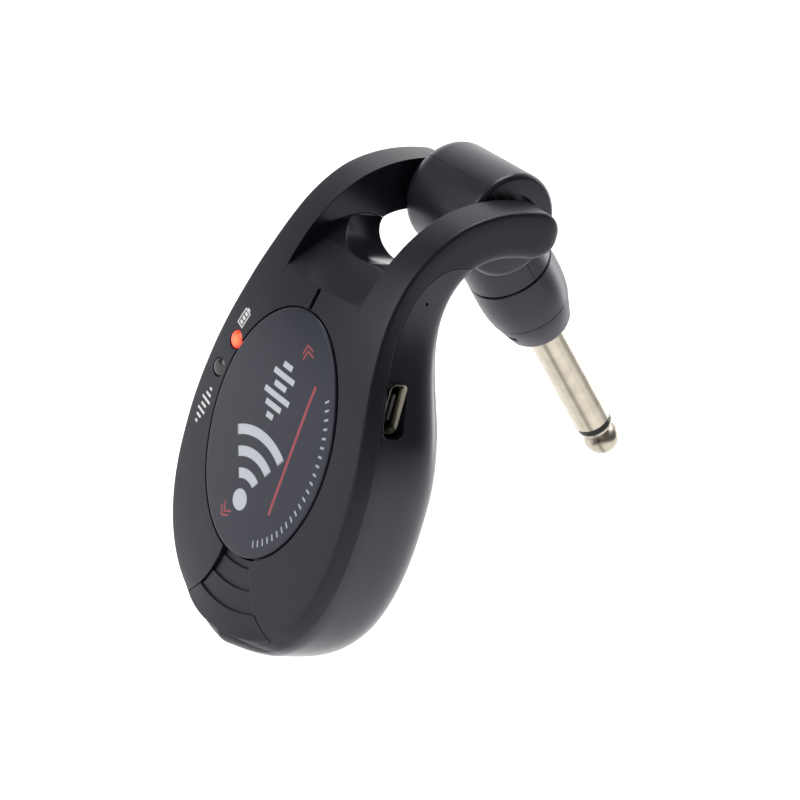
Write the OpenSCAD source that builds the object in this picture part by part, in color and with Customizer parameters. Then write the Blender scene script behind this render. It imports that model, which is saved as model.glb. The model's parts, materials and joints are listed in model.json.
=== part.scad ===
// Wireless guitar transmitter: a teardrop housing whose upper end is a backward-curved fork,
// hinged to an arm that carries a quarter-inch (6.35 mm) mono plug.
// Working frame of the modules: X to the right of the front face, Y towards the back, Z up along
// the body, with the middle of the oval badge at X = 0, Y = 0, Z = 0.
// The whole is then shifted so that the origin is the plug's shoulder.

/* [Housing outline] */
// Half of the greatest width of the housing
body_half_w = 22.8; // [21:0.1:25]
// Height of the widest place
widest_z = -5; // [-8:0.5:0]
// Lowest point of the housing
bottom_z = -37; // [-38:0.5:-36]
// Half of the width across the fork
fork_half_w = 16.4; // [15.6:0.1:18]
// Height at which the fork has its full narrowness
fork_start_z = 35; // [32:0.5:38]
// Greatest depth of the housing, front face to back
body_depth = 23.6; // [22.5:0.1:24]
// Amount by which the front face is narrower than the outline on each side
front_draft = 0.8; // [0.3:0.1:1.2]
// Amount by which the front face stops short of the lowest point
front_lift = 2.5; // [1.5:0.1:3]
// Depth by which the front face falls away from its middle to its sides
crown = 1.5; // [0.8:0.1:2]
// Wall thickness of the two housing shells
wall_t = 1.9; // [1.6:0.1:2.4]
// Depth of the front cover's side band
cover_band = 4.6; // [4:0.1:5]

/* [Fork and hinge] */
// Distance of the hinge axis behind the front face
hinge_y = 31; // [30.5:0.1:32]
// Height of the hinge axis
hinge_z = 41.2; // [40.5:0.1:42]
// Radius of the rounded ears
ear_r = 4.9; // [4.4:0.1:5.4]
// Half of the gap between the ears
fork_gap_half = 10.1; // [9.9:0.1:10.6]
// Radius of the hinge pins
pin_r = 1.5; // [1.2:0.1:1.8]
// Radius of the boss inside each ear
boss_r = 4.2; // [3.8:0.1:4.6]
// Rise of the slope that leads into the slot, for each millimetre of depth
pocket_slope = 0.85; // [0.6:0.05:1]
// Height of the lower edge of that slope on the front face
pocket_z = 26.6; // [25.8:0.1:27.5]

/* [Badge] */
// Half of the badge plate's width
badge_half_w = 15; // [14:0.1:15.4]
// Half of the badge plate's height
badge_half_h = 21.3; // [20:0.1:21.8]
// Thickness of the badge plate
badge_t = 1.1; // [0.8:0.05:1.2]
// Gap round the badge plate
badge_gap = 0.4; // [0.2:0.05:0.6]

/* [Thumb slider] */
// Travel of the thumb slider
slider_travel = 2; // [1:0.1:2.4]
// Thickness of the thumb slider at the bottom edge
slider_t = 2.6; // [2.2:0.1:2.7]
// Gap round the thumb slider
slider_gap = 0.3; // [0.2:0.05:0.4]
// Drop from one terrace of the slider to the next
terrace_step = 0.45; // [0.3:0.05:0.5]

/* [Lamps and socket] */
// Radius of each lamp lens
lens_r = 1.4; // [1.2:0.05:1.6]
// Height of the middle of the USB socket
usb_z = 11.9; // [9:0.1:13]
// Width of the USB socket's metal shell
usb_w = 7.5; // [7.4:0.05:7.7]
// Thickness of the USB socket's metal shell
usb_t = 2.5; // [2.4:0.05:2.7]

/* [Plug arm] */
// Radius of the arm's barrel
barrel_r = 9; // [8.8:0.1:9.6]
// Half of the barrel's length
barrel_half_l = 9.4; // [9.2:0.1:9.6]
// Radius of the recess in each end of the barrel
recess_r = 6.6; // [6:0.1:6.8]
// Depth of the recess in each end of the barrel
recess_d = 1.6; // [1.2:0.1:2]
// Radius of the arm's neck
neck_r = 6.9; // [6.6:0.1:7.1]
// Distance from the hinge axis to the top of the collar
collar_start = 23.6; // [22.5:0.1:24.5]
// Distance from the hinge axis to the plug's shoulder
shoulder_d = 29; // [28.5:0.1:30]
// Radius of the collar at the shoulder
collar_end_r = 5.3; // [4.8:0.1:5.6]
// Angle of the plug from the downward direction, in the resting pose
plug_angle = 47; // [40:1:60]

/* [Plug] */
// Radius of the plug
plug_r = 3.175; // [3.1:0.005:3.2]
// Length of the plug's sleeve below the shoulder
sleeve_l = 23.2; // [22.5:0.1:24]
// Thickness of the black insulating ring
ring_l = 1.2; // [1:0.1:1.5]
// Whole length of the plug below the shoulder
plug_l = 30.5; // [30:0.1:31]

/* [Inside] */
// Thickness of the circuit board
board_t = 1; // [0.8:0.1:1.2]
// Width of the battery
battery_w = 23; // [20:0.5:23.5]
// Height of the battery
battery_h = 32; // [28:0.5:33]
// Thickness of the battery
battery_t = 6.8; // [5:0.1:7]
// Radius of a housing screw's shank
screw_r = 0.9; // [0.8:0.05:1]

/* [Hidden] */

$fn = 36;
small_fn = 16;          // rounds under about 5 mm across
hair = 0.05;            // overlap of cutting shapes past a face
far = 80;               // longer than anything in the model
run_gap = 0.05;         // radial clearance of a running fit

charcoal = [0.20, 0.20, 0.22];
slate = [0.27, 0.28, 0.32];
nickel = [0.78, 0.75, 0.70];
gold = [0.80, 0.65, 0.30];
board_green = [0.10, 0.32, 0.20];

// ---- curves of the side profile -----------------------------------------------------------
straight_z = 6;                                  // the flat part of the front ends here
ear_top = hinge_z + ear_r;                       // top of the ears
ear_low = hinge_z - ear_r;
back_start = body_depth - 1.1;                   // back line's depth where the hook begins
outer_curve = [[0, straight_z], [0, 29], [8, ear_top + 0.3], [hinge_y, ear_top]];
inner_curve = [[back_start, straight_z], [17.6, 20], [10, ear_low + 1.7], [hinge_y, ear_low]];
seam_curve = [[cover_band, straight_z], [cover_band, 28], [10, 39.5], [22.5, 34.5]];

function bezier(p, t) = pow(1 - t, 3) * p[0] + 3 * t * pow(1 - t, 2) * p[1]
    + 3 * t * t * (1 - t) * p[2] + t * t * t * p[3];

// Half of a teardrop outline's width at height z, for its greatest half width and lowest point
low_power = 2.4;
function outline(z, half_w, low) = z < widest_z
    ? half_w * pow(max(0, 1 - pow((widest_z - z) / (widest_z - low), low_power)), 1 / low_power)
    : z > fork_start_z ? half_w - body_half_w + fork_half_w
    : half_w - body_half_w + fork_half_w + (body_half_w - fork_half_w)
        * (1 + cos(180 * (z - widest_z) / (fork_start_z - widest_z))) / 2;
function half_width(z) = outline(z, body_half_w, bottom_z);

// Half of the front face's own width, which ends a little higher
face_end_z = bottom_z + front_lift;
function face_half_width(z) = z <= face_end_z ? 0.2
    : max(0.2, outline(z, body_half_w - front_draft * (z > straight_z
        ? max(0.25, 1 - (z - straight_z) / 24) : 1), face_end_z));

// Front and back of the housing at height z, below the hook
bow_z = -10;                                     // the front face starts to bow back below this
bow = 1.3;                                       // depth of that bow at the bottom
function front_y(z) = (z > bow_z ? 0 : bow * pow((bow_z - z) / (bow_z - bottom_z), 2))
    + (z > face_end_z ? 0 : 4.5 * (1 - sqrt(max(0, 1 - pow((face_end_z - z) / front_lift, 2)))));
function back_y(z) = z > widest_z
    ? back_start + (body_depth - back_start) * (1 - pow((z - widest_z) / (straight_z - widest_z), 2))
    : body_depth - 9 * (1 - pow(max(0, 1 - pow((widest_z - z) / (widest_z - bottom_z), 3)), 1 / 3));

// ---- the housing as a loft ----------------------------------------------------------------
low_rings = 13;
hook_rings = 13;
function low_z(i) = bottom_z + (straight_z - bottom_z) * (1 - cos(90 * i / low_rings));

// One station: front point, back point, half widths of the face and the flank, and how far it
// has gone from the body's soft section (0) to the fork's squarer one (1)
function stations(inset) = concat(
    [for (i = inset > 0 ? [3 : 2 : low_rings - 1] : [1 : low_rings - 1]) let (z = low_z(i))
        [[front_y(z), z], [back_y(z), z], face_half_width(z), half_width(z), 0]],
    [for (i = inset > 0 ? [0 : 2 : 6] : [0 : hook_rings]) let (t = i / hook_rings, p = bezier(outer_curve, t))
        [p, bezier(inner_curve, t), face_half_width(p[1]), half_width(p[1]), min(1, t * 1.4)]]);

// Half of a station's outline: crowned face, flank, then the rounded back
face_steps = 3;
flank_steps = 2;
back_steps = 7;
edge_r = 0.5;
function half_section(depth, w_face, w_flank, hook, inset) = let (
        wf = max(0.3, w_face - inset),
        ws = max(0.6, w_flank - inset),
        drop = crown * pow(min(1, wf / 12), 2) * (1 - 0.85 * hook * hook),
        end_d = depth - inset,
        flank_d = inset + (end_d - inset) * 0.3,
        power = 2.8 + 1.2 * min(1, ws / 18) + 5 * hook)
    concat(
        [for (k = [0 : face_steps]) let (x = (wf - min(edge_r, wf / 3)) * k / face_steps)
            [x, inset + drop * pow(x / wf, 2)]],
        [for (k = [0 : flank_steps - 1]) let (t = (k + 0.25) / (flank_steps + 0.25))
            [wf + (ws - wf) * (1 - pow(1 - t, 2)), inset + drop + (flank_d - inset - drop) * t]],
        [for (k = [0 : back_steps]) let (a = 90 * k / back_steps)
            [ws * pow(cos(a), 2 / power), flank_d + (end_d - flank_d) * pow(sin(a), 2 / power)]]);

// A station's outline as a closed list of points, or only its front part with a flat back
function ring(station, inset, front_only) = let (
        front = station[0],
        depth = norm(station[1] - front),
        way = (station[1] - front) / depth,
        whole = half_section(depth, station[2], station[3], station[4], inset),
        half = front_only ? [for (k = [0 : face_steps + flank_steps + 1]) whole[k]] : whole,
        last = len(half) - (front_only ? 1 : 2))
    concat(
        [for (p = half) [p[0], front[0] + way[0] * p[1], front[1] + way[1] * p[1]]],
        [for (k = [last : -1 : 1]) let (p = half[k])
            [-p[0], front[0] + way[0] * p[1], front[1] + way[1] * p[1]]]);

module loft(rings) {
    n = len(rings[0]);
    m = len(rings);
    sides = [for (i = [0 : m - 2], j = [0 : n - 1]) let (a = i * n + j, b = i * n + (j + 1) % n)
        each [[a, a + n, b], [b, a + n, b + n]]];
    polyhedron([for (r = rings) each r],
               concat(sides, [[for (j = [0 : n - 1]) j]],
                      [[for (j = [n - 1 : -1 : 0]) (m - 1) * n + j]]), convexity = 8);
}

module hull_form(inset = 0) {
    loft([for (s = stations(inset)) ring(s, inset, false)]);
}

// The front part of the same form, up to the fork, for pieces set into the face
module face_form() {
    all = stations(0);
    loft([for (i = [0 : low_rings + 5]) ring(all[i], 0, true)]);
}

// An ear: a rounded disc across the fork's whole width, trimmed to the two prongs later
module ears() {
    edge = 1.2;
    translate([0, hinge_y, hinge_z]) rotate([0, 90, 0]) rotate_extrude()
        polygon([[0, -fork_half_w], [ear_r - edge, -fork_half_w],
                 each [for (a = [30, 60])
                     [ear_r - edge + edge * sin(a), -fork_half_w + edge - edge * cos(a)]],
                 [ear_r, -fork_half_w + edge], [ear_r, fork_half_w - edge],
                 each [for (a = [60, 30])
                     [ear_r - edge + edge * sin(a), fork_half_w - edge + edge * cos(a)]],
                 [ear_r - edge, fork_half_w], [0, fork_half_w]]);
}

// Side-profile slab: extruded across the housing from points in the Y-Z plane
module slab(points, half) {
    rotate([90, 0, 90]) translate([0, 0, -half]) linear_extrude(2 * half) polygon(points);
}

curve_steps = 12;
function line_of(p) = [for (i = [0 : curve_steps]) bezier(p, i / curve_steps)];

// Points of the front line moved back by d
function front_line(d) = concat([[d, bottom_z - 5], [d, straight_z]],
    [for (i = [1 : curve_steps]) let (t = 0.6 * i / curve_steps,
        p = bezier(outer_curve, t), q = bezier(outer_curve, t + 0.01), u = (q - p) / norm(q - p))
        [p[0] + u[1] * d, p[1] - u[0] * d]]);

module cover_zone() {
    slab(concat([[-20, bottom_z - 10], [cover_band, bottom_z - 10]], line_of(seam_curve),
                [[hinge_y, ear_low - 7], [60, ear_low - 7], [60, 70], [-20, 70]]), 40);
}

// The slot between the prongs, whose bottom is a shallow arc, with the slope that leads into it
slot_low_z = pocket_z + 4.3;
slot_r = 14;                                     // radius of the slot's bottom
slot_side_z = slot_low_z + slot_r - sqrt(pow(slot_r, 2) - pow(fork_gap_half, 2));
pocket_y = 3.9;                                  // depth of the front face at the slope's lower edge
pocket_run = 16;                                 // depth over which the slope runs
module slot() {
    along_y(-5, far) {
        intersection() {
            translate([0, slot_low_z + slot_r]) circle(slot_r, $fn = 72);
            translate([-fork_gap_half, 0]) square([2 * fork_gap_half, far]);
        }
        translate([-fork_gap_half, slot_side_z]) square([2 * fork_gap_half, far]);
    }
    slab([[-5, pocket_z - (pocket_y + 5) * pocket_slope],
          [pocket_y + pocket_run, pocket_z + pocket_run * pocket_slope],
          [-5, pocket_z + pocket_run * pocket_slope]], fork_gap_half);
}

// ---- places shared by several pieces ------------------------------------------------------
badge_proud = 0.2;
badge_floor = badge_t - badge_proud;
lens_edge = [5.8, 4.7];                          // distance of each lens from the outline
lens_z = [10.9, 5.2];
lens_spots = [for (i = [0, 1]) [lens_edge[i] - half_width(lens_z[i]), lens_z[i]]];
board_y = 8.6;                                   // front face of the circuit board
lamp_y = board_y - 1.2;                          // front face of the lamps on it
usb_x = half_width(usb_z) - 0.7;                 // mouth of the USB socket
usb_depth = 5.2;
usb_y = board_y - usb_t / 2;
battery_y = board_y + board_t + 2.2;
screw_spots = [[-14.5, -15], [14.5, -15], [0, 19.4]];
board_screw_spots = [[-11, 15], [11, 15], [10, -21]];
post_face = 12.5;                                // where the cover's posts meet the shell's posts
post_r = 2.3;
screw_seat = 16;                                 // depth at which the screw heads sit
stem_z = -27;                                    // height of the slider's stem at rest
stem_w = 3;
bed_y = slider_t + 0.1;                          // floor of the slider's bed
switch_y = bed_y + 2.6;                          // front of the slide switch inside

// Depth of the front face at a place on it, close enough for seating small pieces
function face_y(x, z) = crown * pow(x / face_half_width(z), 2)
    + (z < straight_z ? front_y(z) : 0.0063 * pow(z - straight_z, 2));

module fan_outline(grow = 0) {
    top_w = 3.1 + grow;
    low_w = 9.6 + grow;
    z_top = -badge_half_h + 0.2;
    polygon([[-top_w, z_top + grow], [top_w, z_top + grow],
             each [for (i = [1 : 6]) let (t = i / 6)
                 [top_w + (low_w - top_w) * pow(t, 1.5), z_top - t * 11.5]],
             [low_w + 1.6, bottom_z - 3], [-low_w - 1.6, bottom_z - 3],
             each [for (i = [6 : -1 : 1]) let (t = i / 6)
                 [-top_w - (low_w - top_w) * pow(t, 1.5), z_top - t * 11.5]]]);
}

// Turns a drawing in X-Z into a block that runs from y0 to y1
module along_y(y0, y1) {
    translate([0, y1, 0]) rotate([90, 0, 0]) linear_extrude(y1 - y0) children();
}

module ellipse_area(a, b) {
    polygon([for (k = [0 : 53]) [a * cos(k * 360 / 54), b * sin(k * 360 / 54)]]);
}

// ---- housing ------------------------------------------------------------------------------
module housing_solid() {
    difference() {
        union() {
            hull_form();
            ears();
        }
        slot();
    }
}

module cavity() {
    intersection() {
        hull_form(wall_t);
        translate([-40, -20, bottom_z]) cube([80, 60, pocket_z - wall_t - 1.5 - bottom_z]);
    }
}

module usb_opening(grow, length) {
    h = usb_w + 2 * grow;
    t = usb_t + 2 * grow;
    r = t * 0.36;
    translate([usb_x - length, usb_y, usb_z]) rotate([0, 90, 0])
        linear_extrude(length + 6) {
            square([h - 2 * r, t], center = true);
            square([h, t - 2 * r], center = true);
            for (i = [-1, 1], j = [-1, 1]) translate([i * (h / 2 - r), j * (t / 2 - r)])
                circle(r, $fn = small_fn);
        }
}

front_wall = wall_t + 0.6;
module front_cover() color(charcoal) {
    difference() {
        intersection() {
            housing_solid();
            cover_zone();
        }
        difference() {
            intersection() {
                cavity();
                slab(concat([[front_wall, bottom_z - 10]], [for (p = front_line(front_wall)) p],
                            [[60, 40], [60, bottom_z - 10]]), 40);
            }
            along_y(0, bed_y + 1.2) fan_outline(1.2);
        }
        // badge recess and its notch
        difference() {
            union() {
                along_y(-5, 12) ellipse_area(badge_half_w + badge_gap, badge_half_h + badge_gap);
                translate([-0.4, -5, badge_half_h]) cube([0.8, 17, 4]);
            }
            translate([0, badge_floor, 0]) face_form();
        }
        // fan-shaped bed of the thumb slider, open at the bottom edge, with the slot for its stem
        along_y(-5, bed_y) fan_outline(slider_gap);
        translate([-9.5, -5, bottom_z - 3]) cube([19, bed_y + 6, 5]);
        translate([-stem_w / 2 - slider_gap, 0, stem_z - stem_w / 2 - slider_travel - slider_gap])
            cube([stem_w + 2 * slider_gap, 8, stem_w + slider_travel + 2 * slider_gap]);
        for (p = lens_spots) translate([p[0], -5, p[1]]) rotate([-90, 0, 0])
            cylinder(r = lens_r + run_gap, h = 12, $fn = small_fn);
        usb_opening(1.1, 1.2);
        pin_bores();
        // reset pinhole in the side of the right prong
        translate([fork_half_w - 1.5, 11.1, 29.2]) rotate([0, 90, 0]) cylinder(r = 0.4, h = 5, $fn = 16);
    }
    // posts for the housing screws and for the board
    for (p = screw_spots) post(p, post_r, post_face, screw_r, 5);
    for (p = board_screw_spots) post(p, 1.6, board_y, 0.7, 2.2);
    ear_bosses();
}

// A post that stands on the cover's inner face, with a blind pilot hole in its end
module post(spot, r, end_y, hole_r, hole_depth) {
    start_y = face_y(spot[0], spot[1]) + 1.4;
    difference() {
        translate([spot[0], start_y, spot[1]]) rotate([-90, 0, 0])
            cylinder(r = r, h = end_y - start_y, $fn = small_fn);
        translate([spot[0], end_y - hole_depth, spot[1]]) rotate([-90, 0, 0])
            cylinder(r = hole_r, h = hole_depth + 1, $fn = small_fn);
    }
}

module ear_bosses() {
    for (s = [-1, 1]) difference() {
        translate([s * (fork_gap_half - 0.75), hinge_y, hinge_z]) rotate([0, 90, 0])
            cylinder(r = boss_r, h = 1.7, center = true);
        translate([s * fork_gap_half, hinge_y, hinge_z]) rotate([0, 90, 0])
            cylinder(r = pin_r, h = 5, center = true);
    }
}

module pin_bores() {
    translate([0, hinge_y, hinge_z]) rotate([0, 90, 0])
        cylinder(r = pin_r, h = 2 * (fork_half_w - 1.6), center = true);
}

module back_shell() color(charcoal) {
    difference() {
        intersection() {
            housing_solid();
            difference() {
                translate([-60, -20, -60]) cube(120);
                cover_zone();
            }
        }
        difference() {
            cavity();
            for (p = screw_spots) translate([p[0], post_face, p[1]]) rotate([-90, 0, 0])
                cylinder(r = 2.6, h = 20, $fn = small_fn);
        }
        for (p = screw_spots) translate([p[0], 0, p[1]]) rotate([-90, 0, 0]) {
            cylinder(r = screw_r + 0.15, h = 40, $fn = small_fn);
            translate([0, 0, screw_seat]) cylinder(r = 1.9, h = 20, $fn = small_fn);
        }
        usb_opening(1.1, 1.2);
        usb_opening(0.1, usb_depth + 1);
    }
}

module badge_plate() color(slate)
    intersection() {
        along_y(-5, 12) ellipse_area(badge_half_w, badge_half_h);
        difference() {
            translate([0, badge_floor - badge_t, 0]) face_form();
            translate([0, badge_floor, 0]) face_form();
        }
    }

// A lamp lens with its light pipe down to the lamp on the board
module lens(p) {
    lens_y = face_y(p[0], p[1]) - 0.15;
    lens_h = 3.2;
    translate([p[0], lens_y, p[1]]) rotate([-90, 0, 0]) {
        cylinder(r = lens_r, h = lens_h, $fn = small_fn);
        translate([0, 0, lens_h - hair]) cylinder(r = 0.9, h = lamp_y - 0.1 - lens_y - lens_h + hair, $fn = small_fn);
    }
}
module power_lens() color([1, 0.3, 0.12]) lens(lens_spots[0]);
module signal_lens() color([0.14, 0.14, 0.16]) lens(lens_spots[1]);

// ---- thumb slider -------------------------------------------------------------------------
terrace_z = [-23.0, -26.6, -30.4];               // heights of the three risers at the middle
terrace_r = 16;                                  // radius of the first riser's arc
module thumb_slider() color(charcoal) {
    difference() {
        intersection() {
            along_y(0, slider_t) fan_outline();
            face_form();
        }
        // the end next to the badge follows the badge's edge
        along_y(-5, 12) ellipse_area(badge_half_w + badge_gap, badge_half_h + badge_gap);
        // terraces, each bounded by an arc that bows downwards
        for (i = [0 : 2]) difference() {
            along_y(-5, 5) translate([0, terrace_z[i] + terrace_r + i * 3]) circle(terrace_r + i * 3);
            translate([0, (3 - i) * terrace_step, 0]) face_form();
        }
    }
    // stem through the cover
    translate([-stem_w / 2, slider_t - 0.3, stem_z - stem_w / 2])
        cube([stem_w, switch_y - slider_t, stem_w]);
}

module switch_lever() color([0.85, 0.85, 0.82])
    translate([-1, switch_y - 0.3, stem_z - 1]) cube([2, 1.8, 2]);

// ---- electronics --------------------------------------------------------------------------
board_low = bottom_z + 7;
board_high = pocket_z - 8.6;
board_z_steps = 16;
module board_outline(inset) {
    z = [for (i = [0 : board_z_steps]) board_low + (board_high - board_low) * i / board_z_steps];
    polygon(concat([for (i = [0 : board_z_steps]) [half_width(z[i]) - inset, z[i]]],
                   [for (i = [board_z_steps : -1 : 0]) [inset - half_width(z[i]), z[i]]]));
}

module circuit_board() color(board_green)
    difference() {
        along_y(board_y, board_y + board_t) board_outline(wall_t + 1.6);
        for (p = screw_spots) translate([p[0], 0, p[1]]) rotate([-90, 0, 0])
            cylinder(r = post_r + 0.3, h = 20, $fn = small_fn);
        for (p = board_screw_spots) translate([p[0], 0, p[1]]) rotate([-90, 0, 0])
            cylinder(r = 0.8, h = 20, $fn = small_fn);
    }

module usb_shell() color(nickel)
    difference() {
        intersection() {
            usb_opening(0, usb_depth);
            translate([usb_x - usb_depth, -10, -10]) cube([usb_depth, 40, 60]);
        }
        translate([0.6, 0, 0]) intersection() {
            usb_opening(-0.3, usb_depth);
            translate([usb_x - usb_depth, -10, -10]) cube([usb_depth + 6, 40, 60]);
        }
    }

module usb_tongue() color([0.12, 0.12, 0.12])
    translate([usb_x - usb_depth + 0.6, usb_y - 0.1, usb_z - 2.2]) cube([3.6, 0.6, 4.4]);

// Components: middle in X, low edge in Z, then width, thickness and height
can_size = [14, 2.2, 12];
module on_board(x, z, size) {
    translate([x - size[0] / 2, board_y - size[1], z]) cube(size);
}
module shield_can() color(nickel) on_board(-1, -8, can_size);

chip_sizes = [[6, 1, 6], [5, 1.2, 4], [3, 0.9, 5], [4, 1.4, 7]];
chip_places = [[-3, 8], [6.5, 9], [-11.5, -6], [11, -8]];
module board_chips() color([0.1, 0.1, 0.1])
    for (i = [0 : 3]) on_board(chip_places[i][0], chip_places[i][1], chip_sizes[i]);

antenna_size = [5, 1.1, 1.8];
module chip_antenna() color([0.9, 0.9, 0.88]) on_board(6.1, board_high - 2, antenna_size);

module lamp_chips() color([0.9, 0.9, 0.8])
    for (p = lens_spots) translate([p[0] - 1, lamp_y, p[1] - 0.8]) cube([2, board_y - lamp_y, 1.6]);

module slide_switch() color(nickel)
    difference() {
        translate([-3, switch_y, stem_z - 4.2]) cube([6, board_y - switch_y, 6.6]);
        translate([-1.2, switch_y - 1, stem_z - 1.2 - slider_travel])
            cube([2.4, 2.7, 2.4 + slider_travel]);
    }

battery_low = bottom_z + 15;
pad_inset = 3;
module battery() color([0.75, 0.77, 0.8])
    translate([-battery_w / 2, battery_y, battery_low]) cube([battery_w, battery_t, battery_h]);

module battery_pad() color([0.2, 0.2, 0.2])
    translate([pad_inset - battery_w / 2, board_y + board_t, battery_low + pad_inset])
        cube([battery_w - 2 * pad_inset, battery_y - board_y - board_t, battery_h - 2 * pad_inset]);

module board_screws() color(nickel)
    for (p = board_screw_spots) translate([p[0], board_y + board_t, p[1]]) rotate([-90, 0, 0]) {
        cylinder(r = 1.4, h = 0.8, $fn = small_fn);
        translate([0, 0, -3]) cylinder(r = 0.7, h = 3.1, $fn = small_fn);
    }

module housing_screws() color(nickel)
    for (p = screw_spots) translate([p[0], screw_seat, p[1]]) rotate([-90, 0, 0]) {
        cylinder(r = 1.7, h = 1.2, $fn = small_fn);
        translate([0, 0, -7.5]) cylinder(r = screw_r, h = 7.6, $fn = small_fn);
    }

module hinge_pin(s) color(nickel)
    translate([s * (fork_half_w - 1.6), hinge_y, hinge_z]) rotate([0, -90 * s, 0])
        cylinder(r = pin_r, h = fork_half_w - 1.6 - (barrel_half_l - recess_d) + 4);
module hinge_pin_left() hinge_pin(-1);
module hinge_pin_right() hinge_pin(1);

// ---- plug arm: drawn along +Z from the hinge axis, then turned to the plug's angle --------
module arm_frame() {
    translate([0, hinge_y, hinge_z]) rotate([180 + plug_angle, 0, 0]) children();
}

module barrel() {
    soft = 3.4;                                  // rounding of the left end
    crisp = 1;                                   // rounding of the right end
    rotate([0, 90, 0]) rotate_extrude() polygon(concat(
        [[0, -barrel_half_l]],
        [for (a = [0 : 18 : 90]) [barrel_r - soft + soft * sin(a), -barrel_half_l + soft - soft * cos(a)]],
        [for (a = [90 : -45 : 0]) [barrel_r - crisp + crisp * sin(a), barrel_half_l - crisp + crisp * cos(a)]],
        [[0, barrel_half_l]]));
}

module arm_solid() {
    difference() {
        union() {
            barrel();
            cylinder(r1 = neck_r + 0.3, r2 = neck_r, h = collar_start - 0.15);
        }
        for (s = [-1, 1]) {
            translate([s * barrel_half_l, 0, 0]) rotate([0, 90, 0])
                cylinder(r = recess_r - (s < 0 ? 1.4 : 0), h = 2 * recess_d, center = true);
            translate([s * (barrel_half_l - recess_d), 0, 0]) rotate([0, 90, 0])
                cylinder(r = pin_r + 1, h = 8.4, center = true);
        }
        // hollow for the plug's tail
        translate([0, 0, -tail_r]) cylinder(r = tail_r, h = far);
        // seat of the plug's flange
        translate([0, 0, collar_start - flange_l - 0.2]) cylinder(r = flange_r + 0.1, h = flange_l + 5);
    }
}

// The plug's flange, clamped between the two half shells, and the hollow behind it
flange_r = neck_r - 2;
flange_l = 3.8;
tail_r = plug_r + 0.3;

// The arm is split in the plane of the hinge axis and the plug axis
arm_screw_z = -6.3;
module arm_outer_shell() color(charcoal) arm_frame()
    difference() {
        intersection() {
            arm_solid();
            translate([-20, -20, -20]) cube([40, 20, 60]);
        }
        translate([0, 0, arm_screw_z]) rotate([90, 0, 0]) translate([0, 0, -1])
            cylinder(r = screw_r, h = 6, $fn = small_fn);
    }

module arm_inner_shell() color(charcoal) arm_frame()
    difference() {
        intersection() {
            arm_solid();
            translate([-20, 0, -20]) cube([40, 20, 60]);
        }
        translate([0, 0, arm_screw_z]) rotate([-90, 0, 0]) {
            translate([0, 0, -1]) cylinder(r = screw_r + 0.1, h = 20, $fn = small_fn);
            translate([0, 0, 3]) cylinder(r = 1.7, h = 20, $fn = small_fn);
        }
    }

module arm_screw() color([0.25, 0.25, 0.27]) arm_frame()
    translate([0, 0, arm_screw_z]) rotate([-90, 0, 0]) {
        translate([0, 0, 3]) cylinder(r = 1.55, h = 1.1, $fn = small_fn);
        translate([0, 0, -4.5]) cylinder(r = screw_r, h = 7.6, $fn = small_fn);
    }

module bush(s) color(gold) arm_frame()
    translate([s * (barrel_half_l - recess_d - 2.1), 0, 0]) rotate([0, 90, 0]) difference() {
        cylinder(r = pin_r + 1, h = 4.2, center = true, $fn = small_fn);
        cylinder(r = pin_r + run_gap, h = 6, center = true, $fn = small_fn);
    }
module bush_left() bush(-1);
module bush_right() bush(1);

washer_t = 0.6;
module washer(s) color(nickel) arm_frame()
    translate([s * (barrel_half_l - recess_d + washer_t / 2), 0, 0]) rotate([0, 90, 0]) difference() {
        cylinder(r = boss_r, h = washer_t, center = true, $fn = small_fn);
        cylinder(r = pin_r + 0.2, h = 2, center = true, $fn = small_fn);
    }
module washer_left() washer(-1);
module washer_right() washer(1);

module collar() color(charcoal) arm_frame()
    difference() {
        rotate_extrude() polygon([[plug_r - 0.6, collar_start], [neck_r - 0.25, collar_start],
            [neck_r - 0.25, collar_start + 0.3], [collar_end_r, shoulder_d - 0.5],
            [collar_end_r - 0.5, shoulder_d], [plug_r - 0.6, shoulder_d]]);
        // key slot in the collar's side
        translate([-2.9, collar_end_r - 0.4, shoulder_d - 1.6]) cube([2.2, 2, 0.8]);
    }

// ---- plug ---------------------------------------------------------------------------------
bore_r = 1.5;
module plug_sleeve() color(nickel) arm_frame()
    rotate_extrude() polygon([[bore_r, collar_start - flange_l], [flange_r, collar_start - flange_l],
        [flange_r, collar_start], [plug_r - 0.6, collar_start], [plug_r - 0.6, shoulder_d],
        [plug_r, shoulder_d], [plug_r, shoulder_d + sleeve_l], [bore_r, shoulder_d + sleeve_l]]);

ring_step = 0.2;                                 // the ring and the tip are this much slimmer
module insulator_ring() color([0.05, 0.05, 0.05]) arm_frame()
    translate([0, 0, shoulder_d + sleeve_l]) difference() {
        cylinder(r = plug_r - ring_step, h = ring_l);
        translate([0, 0, -1]) cylinder(r = tip_rod_r, h = ring_l + 2, $fn = small_fn);
    }

tip_rod_r = 0.9;
tip_ball_r = 2.85;
module plug_tip() color(nickel) arm_frame()
    translate([0, 0, shoulder_d + sleeve_l + ring_l]) rotate_extrude() {
        tip_l = plug_l - sleeve_l - ring_l;
        polygon(concat(
            [[0, 0], [plug_r - ring_step, 0], [plug_r - ring_step, 0.35], [2.2, 1.3]],
            [for (a = [60 : -20 : 0]) [tip_ball_r * cos(a), 3.2 - 1.9 * sin(a)]],
            [for (a = [18 : 18 : 72]) [tip_ball_r * cos(a), 3.2 + (tip_l - 3.2) * sin(a)]],
            [[0, tip_l]]));
    }

module tip_rod() color(gold) arm_frame()
    translate([0, 0, collar_start - 9]) cylinder(r = tip_rod_r, h = shoulder_d + sleeve_l + ring_l - collar_start + 9, $fn = small_fn);

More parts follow.
